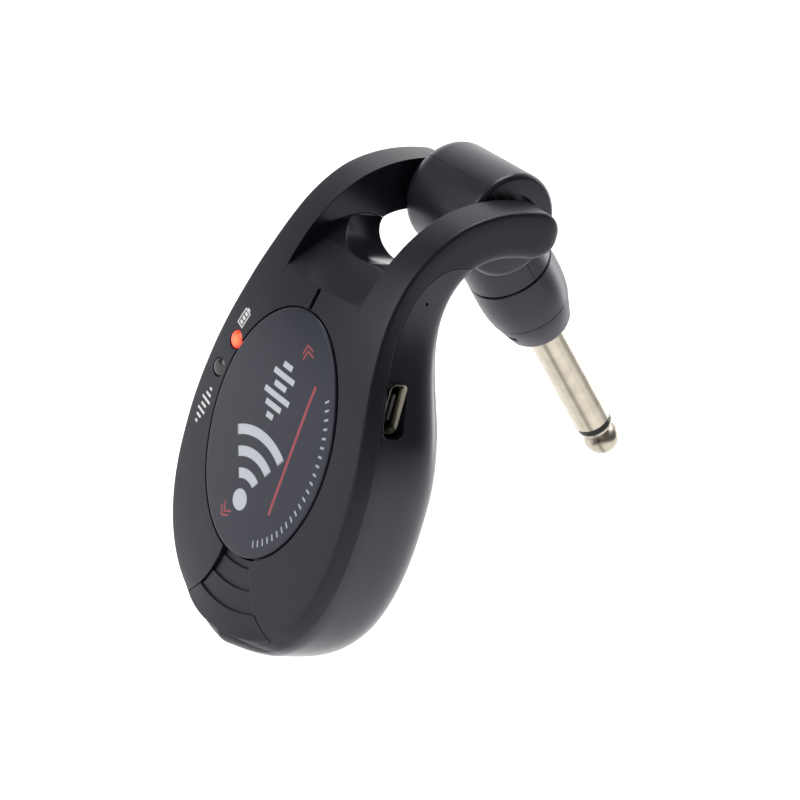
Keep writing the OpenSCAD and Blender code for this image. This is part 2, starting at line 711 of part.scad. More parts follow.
module insulating_tube() color([0.85, 0.85, 0.8]) arm_frame()
    translate([0, 0, collar_start - 5]) difference() {
        cylinder(r = bore_r, h = shoulder_d + sleeve_l - collar_start + 5, $fn = small_fn);
        translate([0, 0, -1]) cylinder(r = tip_rod_r, h = 60, $fn = small_fn);
    }

module tip_lug() color(nickel) arm_frame()
    translate([0, 0, collar_start - 8.5]) difference() {
        union() {
            cylinder(r = 1.7, h = 0.6, $fn = small_fn);
            translate([-0.8, 0, -4]) cube([1.6, 0.6, 4.6]);
        }
        translate([0, 0, -6]) cylinder(r = tip_rod_r, h = 8, $fn = small_fn);
    }

module sleeve_lug() color(nickel) arm_frame()
    translate([0, 0, collar_start - flange_l - 0.6]) difference() {
        union() {
            cylinder(r = 2.7, h = 0.6, $fn = small_fn);
            translate([1.9, -0.8, -5]) cube([0.6, 1.6, 5.6]);
        }
        translate([0, 0, -1]) cylinder(r = bore_r, h = 3, $fn = small_fn);
    }

// ---- placing: the origin is the middle of the plug's shoulder -----------------------------
module placed() {
    translate([0, -hinge_y - shoulder_d * sin(plug_angle), -hinge_z + shoulder_d * cos(plug_angle)])
        children();
}

placed() front_cover();
placed() back_shell();
placed() badge_plate();
placed() power_lens();
placed() signal_lens();
placed() usb_shell();
placed() usb_tongue();
placed() circuit_board();
placed() shield_can();
placed() board_chips();
placed() chip_antenna();
placed() lamp_chips();
placed() slide_switch();
placed() battery();
placed() battery_pad();
placed() board_screws();
placed() housing_screws();
placed() hinge_pin_left();
placed() hinge_pin_right();
placed() thumb_slider();
placed() switch_lever();
placed() arm_outer_shell();
placed() arm_inner_shell();
placed() arm_screw();
placed() bush_left();
placed() bush_right();
placed() washer_left();
placed() washer_right();
placed() collar();
placed() plug_sleeve();
placed() insulator_ring();
placed() plug_tip();
placed() tip_rod();
placed() insulating_tube();
placed() tip_lug();
placed() sleeve_lug();
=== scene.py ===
# %% [markdown]
# # A teardrop transmitter with a folding plug
# The CAD parts are the frame: they fix every size and every joint. This script gives them their
# looks. The big moulded shells are computed again as fine surfaces from the same curves, and the
# small inner parts keep their CAD meshes and only get a finish.
#
# All shapes are drawn in millimetres with the middle of the oval badge at zero, X to the right,
# Y towards the back and Z up, and are then shifted so that the origin is the plug's shoulder.

# %% Load the frame and set the units
import json
import math
from functools import partialmethod

import bpy
import numpy as np
from mathutils import Matrix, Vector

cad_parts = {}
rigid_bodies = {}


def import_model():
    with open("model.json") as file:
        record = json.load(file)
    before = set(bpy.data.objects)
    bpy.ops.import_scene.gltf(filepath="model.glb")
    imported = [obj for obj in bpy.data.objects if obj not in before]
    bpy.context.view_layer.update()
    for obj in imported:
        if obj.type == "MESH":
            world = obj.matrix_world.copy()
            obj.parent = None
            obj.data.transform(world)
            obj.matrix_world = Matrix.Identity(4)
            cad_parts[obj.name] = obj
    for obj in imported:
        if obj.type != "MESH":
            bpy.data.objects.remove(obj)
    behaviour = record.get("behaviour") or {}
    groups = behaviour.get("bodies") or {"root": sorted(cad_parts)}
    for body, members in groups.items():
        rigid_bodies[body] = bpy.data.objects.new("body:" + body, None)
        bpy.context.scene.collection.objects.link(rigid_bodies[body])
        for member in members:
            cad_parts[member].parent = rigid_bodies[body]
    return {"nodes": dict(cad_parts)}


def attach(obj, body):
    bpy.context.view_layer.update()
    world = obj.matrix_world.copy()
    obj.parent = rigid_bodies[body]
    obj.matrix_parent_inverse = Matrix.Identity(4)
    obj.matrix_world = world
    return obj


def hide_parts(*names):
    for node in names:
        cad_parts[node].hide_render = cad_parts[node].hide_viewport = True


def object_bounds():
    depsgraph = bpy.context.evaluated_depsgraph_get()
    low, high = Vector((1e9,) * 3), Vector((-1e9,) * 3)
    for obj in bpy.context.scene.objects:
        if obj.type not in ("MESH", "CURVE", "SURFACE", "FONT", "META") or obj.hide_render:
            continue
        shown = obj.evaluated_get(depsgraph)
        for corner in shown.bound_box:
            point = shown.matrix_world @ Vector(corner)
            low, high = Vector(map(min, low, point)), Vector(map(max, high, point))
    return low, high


for leftover in list(bpy.data.objects):
    bpy.data.objects.remove(leftover)
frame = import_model()
cad_low, cad_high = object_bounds()

HINGE = np.array([0.0, 31.0, 41.2])
SHOULDER = 29.0
TILT = math.radians(47)
SIN, COS = math.sin(TILT), math.cos(TILT)
SHIFT = np.array([0.0, -HINGE[1] - SHOULDER * SIN, -HINGE[2] + SHOULDER * COS])
MM = 0.001


def row(points):
    """Millimetres round the badge to metres round the plug's shoulder: shift, then scale."""
    return (np.asarray(points, float) + SHIFT) * MM


def from_arm(points):
    """Arm frame to badge frame. The arm's +Z runs down the plug and its +Y faces the housing."""
    x, y, z = np.asarray(points, float).reshape(-1, 3).T
    return np.stack([x, HINGE[1] - y * COS + z * SIN, HINGE[2] - y * SIN - z * COS], 1)


print("frame holds", len(frame["nodes"]), "parts, CAD box", np.round([cad_low, cad_high], 4).tolist())

# %% [markdown]
# ## Tools for making a piece
# A piece is a table of points and a table of faces. Four makers cover this object: a loft through
# rings, a lathe round an axis, a prism through a flat outline, and a boolean cut that joins or
# removes solids. Cutting solids keeps real edges where the mould has them, and the fine rings
# keep the round places smooth.

# %% Points and faces into a mesh
def piece(name, points, faces):
    """Makes an object at the origin from points in the badge frame, with its faces turned outwards."""
    points = row(points)
    mesh = bpy.data.meshes.new(name)
    mesh.from_pydata(points.tolist(), [], faces)
    mesh.validate()
    mesh.calc_loop_triangles()
    tris = np.zeros(len(mesh.loop_triangles) * 3, np.int32)
    mesh.loop_triangles.foreach_get("vertices", tris)
    a, b, c = (points[tris.reshape(-1, 3)[:, k]] for k in range(3))
    if np.einsum("ij,ij->i", a, np.cross(b, c)).sum() < 0:
        mesh.flip_normals()
    obj = bpy.data.objects.new(name, mesh)
    bpy.context.scene.collection.objects.link(obj)
    return obj


def grid_faces(rows, columns, close_rows=False):
    """Quads between neighbouring rows of a table of points whose columns close on themselves."""
    i = np.arange(rows if close_rows else rows - 1)[:, None]
    j = np.arange(columns)[None, :]
    k, n = (j + 1) % columns, (i + 1) % rows
    quads = np.stack([i * columns + j, n * columns + j, n * columns + k, i * columns + k], -1)
    return quads.reshape(-1, 4).tolist()


def loft(name, rings):
    """A closed skin through rings of equal length, with a flat cap on the first and the last."""
    rows, columns, _ = rings.shape
    faces = grid_faces(rows, columns)
    faces += [list(range(columns)), list(range((rows - 1) * columns, rows * columns))[::-1]]
    return piece(name, rings.reshape(-1, 3), faces)


def lathe(name, profile, axis="arm", turns=128):
    """Turns a profile of (radius, height) round the arm's Z axis, or round the hinge's X axis.

    Each point is (r cos t, r sin t, h). A radius of 0 at an end becomes a single pole point; a
    profile that starts and ends off the axis closes on itself, as a tube does.
    """
    r, h = np.array(profile, float).T
    t = np.linspace(0, 2 * math.pi, turns, endpoint=False)
    poles = (int(r[0] < 1e-6), int(r[-1] < 1e-6))
    ring_r, ring_h = r[poles[0]:len(r) - poles[1]], h[poles[0]:len(h) - poles[1]]
    table = np.stack([ring_r[:, None] * np.cos(t), ring_r[:, None] * np.sin(t),
                      np.repeat(ring_h[:, None], turns, 1)], -1)
    count = len(ring_r)
    faces = grid_faces(count, turns, close_rows=not any(poles))
    points = table.reshape(-1, 3)
    for pole, edge, height, way in ((poles[0], 0, h[0], 1), (poles[1], count - 1, h[-1], -1)):
        if pole:
            points = np.vstack([points, [0, 0, height]])
            j = np.arange(turns)
            fan = np.stack([edge * turns + j, edge * turns + (j + 1) % turns,
                            np.full(turns, len(points) - 1)], 1)
            faces += fan[:, ::way].tolist()
    if axis == "hinge":
        points = HINGE + points[:, [2, 0, 1]]
    elif axis == "arm":
        points = from_arm(points)
    return piece(name, points, faces)


def prism(name, outline, low, high, across="y"):
    """A flat outline carried straight from low to high along one axis."""
    outline = np.asarray(outline, float)
    n = len(outline)
    a = np.concatenate([np.full(n, low), np.full(n, high)])
    two = np.vstack([outline, outline])
    columns = [two[:, 0], two[:, 1]]
    columns.insert("xyz".index(across), a)
    faces = grid_faces(2, n) + [list(range(n)), list(range(n, 2 * n))[::-1]]
    return piece(name, np.stack(columns, 1), faces)


def block(name, low, high):
    """A plain box between two corners."""
    (x0, y0, z0), (x1, y1, z1) = low, high
    return prism(name, [(x0, z0), (x1, z0), (x1, z1), (x0, z1)], y0, y1)


def join_cut(target, tool, operation="DIFFERENCE", keep=False):
    """Cuts target with tool, joins it to it, or keeps what both share."""
    change = target.modifiers.new("change", "BOOLEAN")
    change.operation, change.solver, change.object = operation, "MANIFOLD", tool
    seen = target.evaluated_get(bpy.context.evaluated_depsgraph_get())
    shape = bpy.data.meshes.new_from_object(seen)
    target.modifiers.remove(change)
    old, target.data = target.data, shape
    bpy.data.meshes.remove(old)
    if not keep:
        bpy.data.objects.remove(tool)
    return target


def moved(obj, way):
    """Moves a piece's points: way takes them in millimetres round the badge and gives new places."""
    p = np.zeros(len(obj.data.vertices) * 3)
    obj.data.vertices.foreach_get("co", p)
    p = row(way(p.reshape(-1, 3) * 1000 - SHIFT))
    obj.data.vertices.foreach_set("co", p.ravel())
    return obj


def settle(obj, body, node="", angle=32):
    """Shades a piece smooth, except across edges sharper than the angle, gives it its body and,
    where it stands for a CAD part, hides that part."""
    obj.data.polygons.foreach_set("use_smooth", [True] * len(obj.data.polygons))
    obj.data.set_sharp_from_angle(angle=math.radians(angle))
    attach(obj, body)
    if node:
        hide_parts(node)


print("makers: loft, lathe, prism, join_cut")

# %% [markdown]
# ## The housing's curves
# From the side the housing is a comma: straight at the front, then swept back into a hook. Two
# cubic curves draw the outer and the inner line of that hook. From the front it is a teardrop.
# Each station joins a point of the outer line to a point of the inner one, and carries a section
# that is crowned at the face, rounded at the edge and softly squared at the back.

# %% Outline and side profile
WIDE, WIDEST_Z, LOWEST, FORK_HALF, FORK_START = 22.8, -5.0, -37.0, 16.4, 35.0
DEPTH, STRAIGHT_Z, CROWN, WALL = 23.6, 6.0, 1.5, 1.9
EAR_R, GAP_HALF = 4.9, 10.1
FACE_END = LOWEST + 2.5
OUTER = np.array([[0, 6.0], [0, 29], [8, 46.4], [31, 46.1]])
INNER = np.array([[22.5, 6.0], [17.6, 20], [10, 38], [31, 37.1]])
SEAM = np.array([[4.6, 6.0], [4.6, 28], [10, 39.5], [22.5, 34.5]])


def bezier(p, t):
    """Cubic curve: the four points weighted by (1-t)^3, 3t(1-t)^2, 3t^2(1-t) and t^3."""
    t = np.asarray(t, float)[..., None]
    return (1 - t) ** 3 * p[0] + 3 * t * (1 - t) ** 2 * p[1] + 3 * t * t * (1 - t) * p[2] + t ** 3 * p[3]


def outline(z, half, low):
    """Teardrop half width: a squared oval below the widest place, a cosine shoulder above it."""
    z = np.asarray(z, float)
    down = np.clip((WIDEST_Z - z) / (WIDEST_Z - low), 0, 1)
    oval = half * (1 - down ** 2.4) ** (1 / 2.4)
    up = np.clip((z - WIDEST_Z) / (FORK_START - WIDEST_Z), 0, 1)
    neck = half - WIDE + FORK_HALF
    return np.where(z < WIDEST_Z, oval, neck + (WIDE - FORK_HALF) * (1 + np.cos(math.pi * up)) / 2)


def flank_width(z):
    """The housing's own half width, at its widest behind the face."""
    return outline(z, WIDE, LOWEST)


def face_width(z):
    """The face is a little narrower than the flank, and stops a little higher."""
    z = np.asarray(z, float)
    draft = 0.8 * np.where(z > STRAIGHT_Z, np.maximum(0.25, 1 - (z - STRAIGHT_Z) / 24), 1)
    width = np.maximum(0.2, outline(np.maximum(z, FACE_END), WIDE - draft, FACE_END))
    return np.where(z <= FACE_END, 0.2, width)


def front_line(z):
    """Depth of the front below the hook: a slight bow, then a quick rounding at the very bottom."""
    z = np.asarray(z, float)
    bow = 1.3 * np.clip((-10 - z) / 27, 0, 1) ** 2
    return bow + 4.5 * (1 - np.sqrt(1 - np.clip((FACE_END - z) / 2.5, 0, 1) ** 2))


def back_line(z):
    """Depth of the back below the hook: a slow bow, then a squared quarter round at the bottom."""
    z = np.asarray(z, float)
    high = 22.5 + 1.1 * (1 - (np.clip(z - WIDEST_Z, 0, None) / 11) ** 2)
    low = DEPTH - 9 * (1 - (1 - np.clip((WIDEST_Z - z) / 32, 0, 1) ** 3) ** (1 / 3))
    return np.where(z > WIDEST_Z, high, low)


def face_depth(x, z):
    """Depth of the front skin at a place on it, for pieces that are set into it."""
    t = np.linspace(0, 0.7, 400)
    line = bezier(OUTER, t)
    front = np.where(np.asarray(z) < STRAIGHT_Z, front_line(z), np.interp(z, line[:, 1], line[:, 0]))
    w = face_width(z)
    hook = np.minimum(1, 1.4 * np.interp(z, line[:, 1], t))
    return front + CROWN * np.minimum(1, w / 12) ** 2 * (1 - 0.85 * hook ** 2) * (np.asarray(x) / w) ** 2


print("half width at the badge and at the fork", flank_width([0, 36]).round(2), "mm")

# %% The skin as rings
def hull_rings(inset=0.0, low_steps=64, hook_steps=80, top=1.0, front_only=False):
    """Rings of the housing's skin, each a section on the line from its front to its back point.

    Below the hook the rings crowd towards the bottom as 1 - cos does. Past the hook's end they
    follow a half circle, so that the two prongs end in rounded ears.
    """
    i = np.linspace(0.24 if inset else 0.03, 1, low_steps)[:-1]
    low = LOWEST + (STRAIGHT_Z - LOWEST) * (1 - np.cos(math.pi / 2 * i))
    t = np.linspace(0, top, hook_steps)
    a = np.linspace(0, 1.5, 26)[1:] if top == 1 else np.zeros(0)
    middle, tall = (OUTER[3, 1] + INNER[3, 1]) / 2, (OUTER[3, 1] - INNER[3, 1]) / 2
    ear_y = OUTER[3, 0] + EAR_R * np.sin(a)
    front, back = (np.vstack([np.stack([line(low), low], 1), bezier(curve, t),
                              np.stack([ear_y, middle + way * tall * np.cos(a)], 1)])
                   for line, curve, way in ((front_line, OUTER, 1), (back_line, INNER, -1)))
    hook = np.concatenate([0 * low, np.minimum(1, 1.4 * t), 0 * a + 1])[:, None]
    shy = np.concatenate([0 * low, 0 * t, 1.4 * (1 - np.cos(a)) ** 1.5])[:, None]
    z = np.concatenate([low, bezier(OUTER, t)[:, 1], 0 * a + 46])
    wf = np.maximum(0.3, face_width(z)[:, None] - inset - shy)
    ws = np.maximum(0.6, flank_width(z)[:, None] - inset - shy)
    depth = np.linalg.norm(back - front, axis=1)[:, None]
    way = (back - front) / depth
    drop = np.minimum(CROWN * np.minimum(1, wf / 12) ** 2 * (1 - 0.85 * hook ** 2), 0.1 * depth)
    end = depth - inset
    flank = inset + (end - inset) * 0.3
    power = 2.8 + 1.2 * np.minimum(1, ws / 18) + 5 * hook
    edge = np.minimum(0.55, np.minimum(wf, depth) / 3)

    def face(u):
        """The crowned face from its middle (u = 0) to its edge (u = 1), falling with u squared."""
        return (wf - edge) * u, inset + drop * ((wf - edge) * u / wf) ** 2

    def side(s):
        """The side from the face's corner (s = 0) to the widest place, out by 1 - (1 - s)^2."""
        return wf + (ws - wf) * (1 - (1 - s) ** 2), inset + drop + (flank - inset - drop) * s

    start = np.minimum(0.5, edge / (flank - inset - drop))
    fx, fy = face(np.linspace(0, 1, 13)[None, :])
    sx, sy = side(start + (1 - start) * np.linspace(0, 1, 9)[None, :-1])
    e = np.linspace(0, 1, 9)[None, 1:-1]
    ex, ey = ((1 - e) ** 2 * p0 + 2 * e * (1 - e) * p1 + e * e * p2
              for p0, p1, p2 in zip(face(1.0), (wf, inset + drop), side(start)))
    a = np.linspace(0, math.pi / 2, 33)[None, :]
    reach = (np.cos(a) ** power + np.sin(a) ** power) ** (-1 / power)
    bx, by = ws * np.cos(a) * reach, flank + (end - flank) * np.sin(a) * reach
    parts = ((fx, ex, sx), (fy, ey, sy)) if front_only else ((fx, ex, sx, bx), (fy, ey, sy, by))
    x, d = (np.hstack([np.broadcast_to(p, (len(z), p.shape[1])) for p in side]) for side in parts)
    x[:, -1] = x[:, -1] if front_only else 0
    last = x.shape[1] - (0 if front_only else 1)
    x = np.hstack([x, -x[:, 1:last][:, ::-1]])
    d = np.hstack([d, d[:, 1:last][:, ::-1]])
    return np.stack([x, front[:, :1] + way[:, :1] * d, front[:, 1:] + way[:, 1:] * d], -1)


skin = hull_rings()
print("housing skin:", skin.shape[0], "rings of", skin.shape[1], "points")

# %% [markdown]
# ## Cutting the mould
# The skin becomes the housing in the same order as in the CAD: a slot divides the hook into a
# fork with two rounded ears, and a slope leads from the front face into the slot.
# The housing is moulded as a front cover and a back shell, so it is cut once more along the seam.
# The two cuts stand 0.07 mm apart, which leaves the fine parting line that every such case shows.

# %% Small curves and the closed skin
def quarter(cx, cy, r, start, end, steps=8):
    """Points on a circle round (cx, cy) from one angle in degrees to the other."""
    a = np.radians(np.linspace(start, end, steps))
    return np.stack([cx + r * np.cos(a), cy + r * np.sin(a)], 1)


def ellipse(half_w, half_h, steps=160):
    """Points (half_w cos a, half_h sin a), a from 0 to a full turn."""
    a = np.linspace(0, 2 * math.pi, steps, endpoint=False)
    return np.stack([half_w * np.cos(a), half_h * np.sin(a)], 1)


BADGE_W, BADGE_H, SLIDER_T, SLIDER_GAP = 15.0, 21.3, 2.6, 0.3


def disc(x, z, r, steps=48):
    """A circle of points round (x, z)."""
    return ellipse(r, r, steps) + [x, z]


FAN_TOP, FAN_END = 3.4, 16


def fan(grow=0.0):
    """Fan outline. A share t of the way down, the half width is 3.4 mm plus 5 t^1.3 plus 4.5 t^4,
    and past the housing's lower edge it opens to 16 mm. The whole outline can be grown."""
    t = np.linspace(0, 1, 30)
    z = 0.2 - BADGE_H - t * 11.9
    w = FAN_TOP + grow + 5.0 * t ** 1.3 + 4.5 * t ** 4
    side = np.vstack([[[FAN_TOP + grow, z[0] + grow]], np.stack([w, z], 1)[1:],
                      [[FAN_END + grow, -34.5], [FAN_END + grow, LOWEST - 3]]])
    return np.vstack([side, (side * [-1, 1])[::-1]])


body = loft("body", skin)
print("closed skin:", len(body.data.polygons), "faces")

# %% The slot and its slope
POCKET_Z, SLOPE, SLOT_R = 26.6, 0.85, 14.0
SLOT_MID = POCKET_Z + 4.3 + SLOT_R
swing = math.degrees(math.asin(GAP_HALF / SLOT_R))
slot_outline = np.vstack([quarter(0, SLOT_MID, SLOT_R, -90 - swing, -90 + swing, 40),
                          [[GAP_HALF, 80], [-GAP_HALF, 80]]])
join_cut(body, prism("slot", slot_outline, -5, 80))
slope = [(-5, POCKET_Z - 8.9 * SLOPE), (19.9, POCKET_Z + 16 * SLOPE), (-5, POCKET_Z + 16 * SLOPE)]
join_cut(body, prism("slope", slope, -GAP_HALF, GAP_HALF, "x"))
print("forked:", len(body.data.polygons), "faces")

# %% Hollow inside, then cover and shell
SEAM_GAP = 0.07
hollow = loft("hollow", hull_rings(WALL, 40, 30, 0.5))
limit = block("hollow_limit", (-40, -20, LOWEST), (40, 40, POCKET_Z - WALL - 1.5))
join_cut(hollow, limit, "INTERSECT")


def cover_zone(name, back):
    """Everything in front of the seam, with the seam moved back by the given amount."""
    line = bezier(SEAM, np.linspace(0, 1, 40)) + np.array([back, -back])
    points = np.vstack([[[-20, -47], [SEAM[0, 0] + back, -47]], line,
                        [[31, 29.3 - back], [60, 29.3 - back], [60, 70], [-20, 70]]])
    return prism(name, points, -40, 40, "x")


shell = bpy.data.objects.new("back_shell_form", body.data.copy())
bpy.context.scene.collection.objects.link(shell)
join_cut(shell, cover_zone("zone", SEAM_GAP / 2))
cover = join_cut(body, cover_zone("zone", -SEAM_GAP / 2), "INTERSECT")
cover.name = "front_cover_form"
join_cut(shell, hollow, keep=True)
cover_hollow = join_cut(hollow, block("front_wall", (-40, -20, -60), (40, WALL + 0.6, 60)))
join_cut(cover_hollow, prism("bed_floor", fan(1.2), -5, SLIDER_T + 1.3))
join_cut(cover, cover_hollow)
print("cover", len(cover.data.polygons), "faces, shell", len(shell.data.polygons))

# %% [markdown]
# ## Recesses in the housing
# The badge lies in an oval recess with a small notch above it, the thumb slider runs in a
# fan-shaped bed that is open at the bottom edge, two lamp lenses sit in bores, and the charging
# socket has its own sunken mouth. A recess floor that follows the crowned face is made by holding
# back a copy of the face: the cutter is an oval block with the moved face taken out of it.

# %% The badge's recess
BADGE_GAP, BADGE_FLOOR = 0.4, 0.9
front_ring = hull_rings(front_only=True, top=5 / 13)


def face_block(name, back=0.0):
    """The front part of the skin as a solid, moved back by the given depth."""
    return loft(name, front_ring + np.array([0, back, 0]))


def above_face(name, flat_shape, back):
    """What is left of a block in front of the face, once the face has been moved back."""
    return join_cut(flat_shape, face_block("face", back))


recess_edge = ellipse(BADGE_W + BADGE_GAP, BADGE_H + BADGE_GAP)
oval = prism("badge_recess", recess_edge, -5, 12)
notch = block("notch", (-0.4, -5.2, BADGE_H - 1), (0.4, 12.2, BADGE_H + 4))
join_cut(cover, above_face("recess", join_cut(oval, notch, "UNION"), BADGE_FLOOR))
print("badge recess", 2 * (BADGE_W + BADGE_GAP), "by", 2 * (BADGE_H + BADGE_GAP), "mm")

# %% The slider's bed
BED_DEPTH = SLIDER_T + 0.1
join_cut(cover, prism("bed", fan(SLIDER_GAP), -5, BED_DEPTH))
join_cut(cover, block("stem_hole", (-1.8, 0, -30.8), (1.8, 8, -25.2)))
print("bed", BED_DEPTH, "mm deep, open at the bottom edge")

# %% Lamp bores, socket mouth, pinhole and screw wells
LENS_R, LENS_Z = 1.55, np.array([10.9, 5.2])
LENS_X = np.array([5.8, 4.7]) - flank_width(LENS_Z)
USB_Z, USB_Y, USB_W, USB_T = 11.9, 7.35, 7.5, 2.5
USB_X = float(flank_width(USB_Z)) - 0.7


def socket_outline(grow):
    """A flat rounded slot, like the mouth of a small USB socket, centred on the socket."""
    w, t = USB_W / 2 + grow, USB_T / 2 + grow
    r = t * 0.6
    corners = [(t - r, w - r, 0), (r - t, w - r, 90), (r - t, r - w, 180), (t - r, r - w, 270)]
    ring = np.vstack([quarter(y, z, r, a, a + 90, 10) for y, z, a in corners])
    return ring + [USB_Y, USB_Z]


for x, z in zip(LENS_X, LENS_Z):
    join_cut(cover, prism("lens_bore", disc(x, z, LENS_R + 0.1), -5, 7))
for half in (cover, shell):
    join_cut(half, prism("socket_mouth", socket_outline(0.95), USB_X - 0.5, USB_X + 6, "x"))
    join_cut(half, prism("socket_tunnel", socket_outline(0.1), USB_X - 6.2, USB_X + 6, "x"))
join_cut(shell, prism("pinhole", disc(11.1, 29.2, 0.3, 24), FORK_HALF - 1.5, FORK_HALF + 4, "x"))
for x, z in ((-14.5, -15.0), (14.5, -15.0), (0.0, 19.4)):
    join_cut(shell, prism("screw_well", disc(x, z, 1.9), 16, 40))
PIN_R, PIN_END = 1.5, 14.8
pin = [(0, -PIN_END), (PIN_R, -PIN_END), (PIN_R, PIN_END), (0, PIN_END)]
join_cut(cover, lathe("pin_hole", pin, "hinge", 48))
print("lenses at X", LENS_X.round(2), "and Z", LENS_Z)

# %% Washers' bosses inside the ears
boss = np.array([(PIN_R, 9.25), (3.7, 9.25), (3.9, 9.45), (3.9, 10.6), (PIN_R, 10.6)])
for side in (-1, 1):
    join_cut(cover, lathe("boss", boss * [1, side], "hinge", 96), "UNION")
settle(cover, "housing", "front_cover")
settle(shell, "housing", "back_shell")
print("two bosses, and the housing's", len(cover.data.polygons) + len(shell.data.polygons), "faces")

# %% [markdown]
# ## The badge
# The badge is a thin oval plate with a polished bevel round its edge. It is a domed sheet over an
# ellipse: concentric rings shrink towards the middle, and each ring takes its height from the face
# below it plus a small bevel at the rim.

# %% Badge plate from concentric rings
def plate(name, outline_points, levels):
    """Concentric copies of an outline. Each level is (scale, depth off the face); poles close it.

    A point is (s x, face(s x, s z) + depth, s z).
    """
    rings = []
    for scale, depth in levels:
        x, z = (outline_points * max(scale, 1e-4)).T
        rings.append(np.stack([x, face_depth(x, z) + depth, z], 1))
    return loft(name, np.array(rings))


PROUD = -0.2
bevel = [(1 - 0.018 * (1 - math.cos(a)), PROUD + 0.27 * (1 - math.sin(a)))
         for a in np.linspace(0, math.pi / 2, 7)]
shrink = [(s, PROUD) for s in np.linspace(0.965, 0.01, 26)]
under = [(s, BADGE_FLOOR) for s in np.linspace(0.01, 0.999, 14)] + [(1.0, BADGE_FLOOR)]
badge = plate("badge_plate_form", ellipse(BADGE_W, BADGE_H), under + bevel + shrink)
settle(badge, "housing", "badge_plate", 50)
print("badge", 2 * BADGE_W, "by", 2 * BADGE_H, "mm")

# %% [markdown]
# ## The thumb slider
# The power switch is a fan of four terraces that the thumb pushes down. Each riser is an arc. The
# fan is cut from the face itself, so its lowest terrace is flush with the housing and its lower
# edge follows the housing's outline.

# %% Fan with terraces
RISERS, RISER_R, STEP = (-23.0, -26.6, -30.4), (16.0, 19.0, 22.0), 0.36
slider = join_cut(prism("thumb_slider_form", fan(), 0, SLIDER_T), face_block("face"), "INTERSECT")
join_cut(slider, prism("badge_edge", recess_edge, -5, 12))
for level, (riser, r) in enumerate(zip(RISERS, RISER_R)):
    arc = prism("arc", disc(0, riser + r, r, 240), -5, 5)
    join_cut(slider, above_face("terrace", arc, (len(RISERS) - level) * STEP))
join_cut(slider, block("stem", (-1.5, SLIDER_T - 0.3, -28.5), (1.5, 5.3, -25.5)), "UNION")
settle(slider, "slider", "thumb_slider")
print("slider with", len(RISERS) + 1, "terraces,", len(slider.data.polygons), "faces")

# %% [markdown]
# ## Lamp lenses and the charging socket
# Each lens is a short clear rod with a rounded cap, so it is a lathe about an axis along Y. The
# socket's metal shell is a rounded slot with a thin wall, whose lips flare at the mouth to guide
# the plug in: rings of the same slot, grown and shrunk along its depth.

# %% Lenses
def y_lathe(name, x, z, profile, turns=48):
    """Turns (radius, depth) about an axis that runs straight into the face at (x, z)."""
    return moved(lathe(name, profile, "none", turns),
                 lambda p: np.stack([p[:, 0] + x, p[:, 2], z - p[:, 1]], 1))


LENS_PROUD, LENS_END = 0.12, 7.3
lenses = {}
for node, slot, x, z in zip(("power_lens", "signal_lens"), ("lit_lens", "dark_lens"), LENS_X, LENS_Z):
    top = float(face_depth(x, z))
    cap = [(LENS_R * math.sin(a), top - LENS_PROUD + 0.45 * (1 - math.cos(a)))
           for a in np.linspace(0, 1.45, 12)]
    rod = [(LENS_R, top + 0.6), (LENS_R, top + 3), (0.9, top + 3), (0.9, LENS_END), (0, LENS_END)]
    lenses[node] = y_lathe(node + "_form", x, z, [(0, top - LENS_PROUD)] + cap[1:] + rod)
    settle(lenses[node], "housing", node, 40)
print("two lenses, radius", LENS_R, "mm")

# %% Socket shell
flare = [(-5.2, 0), (-1.4, 0), (-0.9, 0.08), (-0.45, 0.3), (-0.05, 0.52), (0.0, 0.46),
         (-0.1, 0.3), (-0.5, 0.02), (-1.0, -0.22), (-1.5, -0.3), (-4.6, -0.3)]
rings = [np.insert(socket_outline(grow), 0, USB_X + depth, 1) for depth, grow in flare]
socket = loft("usb_shell_form", np.array(rings))
settle(socket, "housing", "usb_shell")
print("socket mouth", USB_W, "by", USB_T, "mm at height", USB_Z)

# %% [markdown]
# ## The arm
# The arm is a barrel across the fork with a short neck that holds the plug. Barrel and neck are
# both turned shapes. One end of the barrel is softly rounded and the other crisp, and each end has
# a round recess. The arm is moulded in two halves, which meet in the plane of both axes, and a
# smooth ring closes the lower end of the neck over both of them.

# %% Barrel and neck
BARREL_R, BARREL_HALF, NECK_R, NECK_END, NECK_BORE, TAIL_R = 9.0, 9.4, 7.5, 14.2, 5.0, 3.475
SOFT_END, CRISP_END = 3.4, 1
recess = np.array([(0, BARREL_HALF - 1.6), (5.2, BARREL_HALF - 1.6), (5.2, BARREL_HALF - 0.2),
                   (5.4, BARREL_HALF)])
barrel_profile = np.vstack([
    recess * [1, -1],
    quarter(BARREL_R - SOFT_END, SOFT_END - BARREL_HALF, SOFT_END, -86, 0, 12),
    quarter(BARREL_R - CRISP_END, BARREL_HALF - CRISP_END, CRISP_END, 0, 86),
    recess[::-1]])
arm = lathe("arm_form", barrel_profile, "hinge", 160)
neck = [(0, -2), (NECK_R, -2), (NECK_R, 0), (7.45, 14.0), (7.3, NECK_END), (0, NECK_END)]
join_cut(arm, lathe("neck", neck), "UNION")
tail = [(0, -TAIL_R), (TAIL_R, -TAIL_R), (TAIL_R, 19.6), (NECK_BORE, 19.6), (NECK_BORE, 30), (0, 30)]
join_cut(arm, lathe("tail_hollow", tail))
join_cut(arm, lathe("pin_bore", [(0, -20), (2.5, -20), (2.5, 20), (0, 20)], "hinge", 48))
print("arm:", len(arm.data.polygons), "faces")

# %% Split into the outer and the inner half
def arm_half(name, low, high):
    """The arm between two depths of its own frame."""
    half = prism(name, [(-20, -20), (20, -20), (20, 60), (-20, 60)], low, high)
    return join_cut(moved(half, from_arm), arm, "INTERSECT", keep=True)


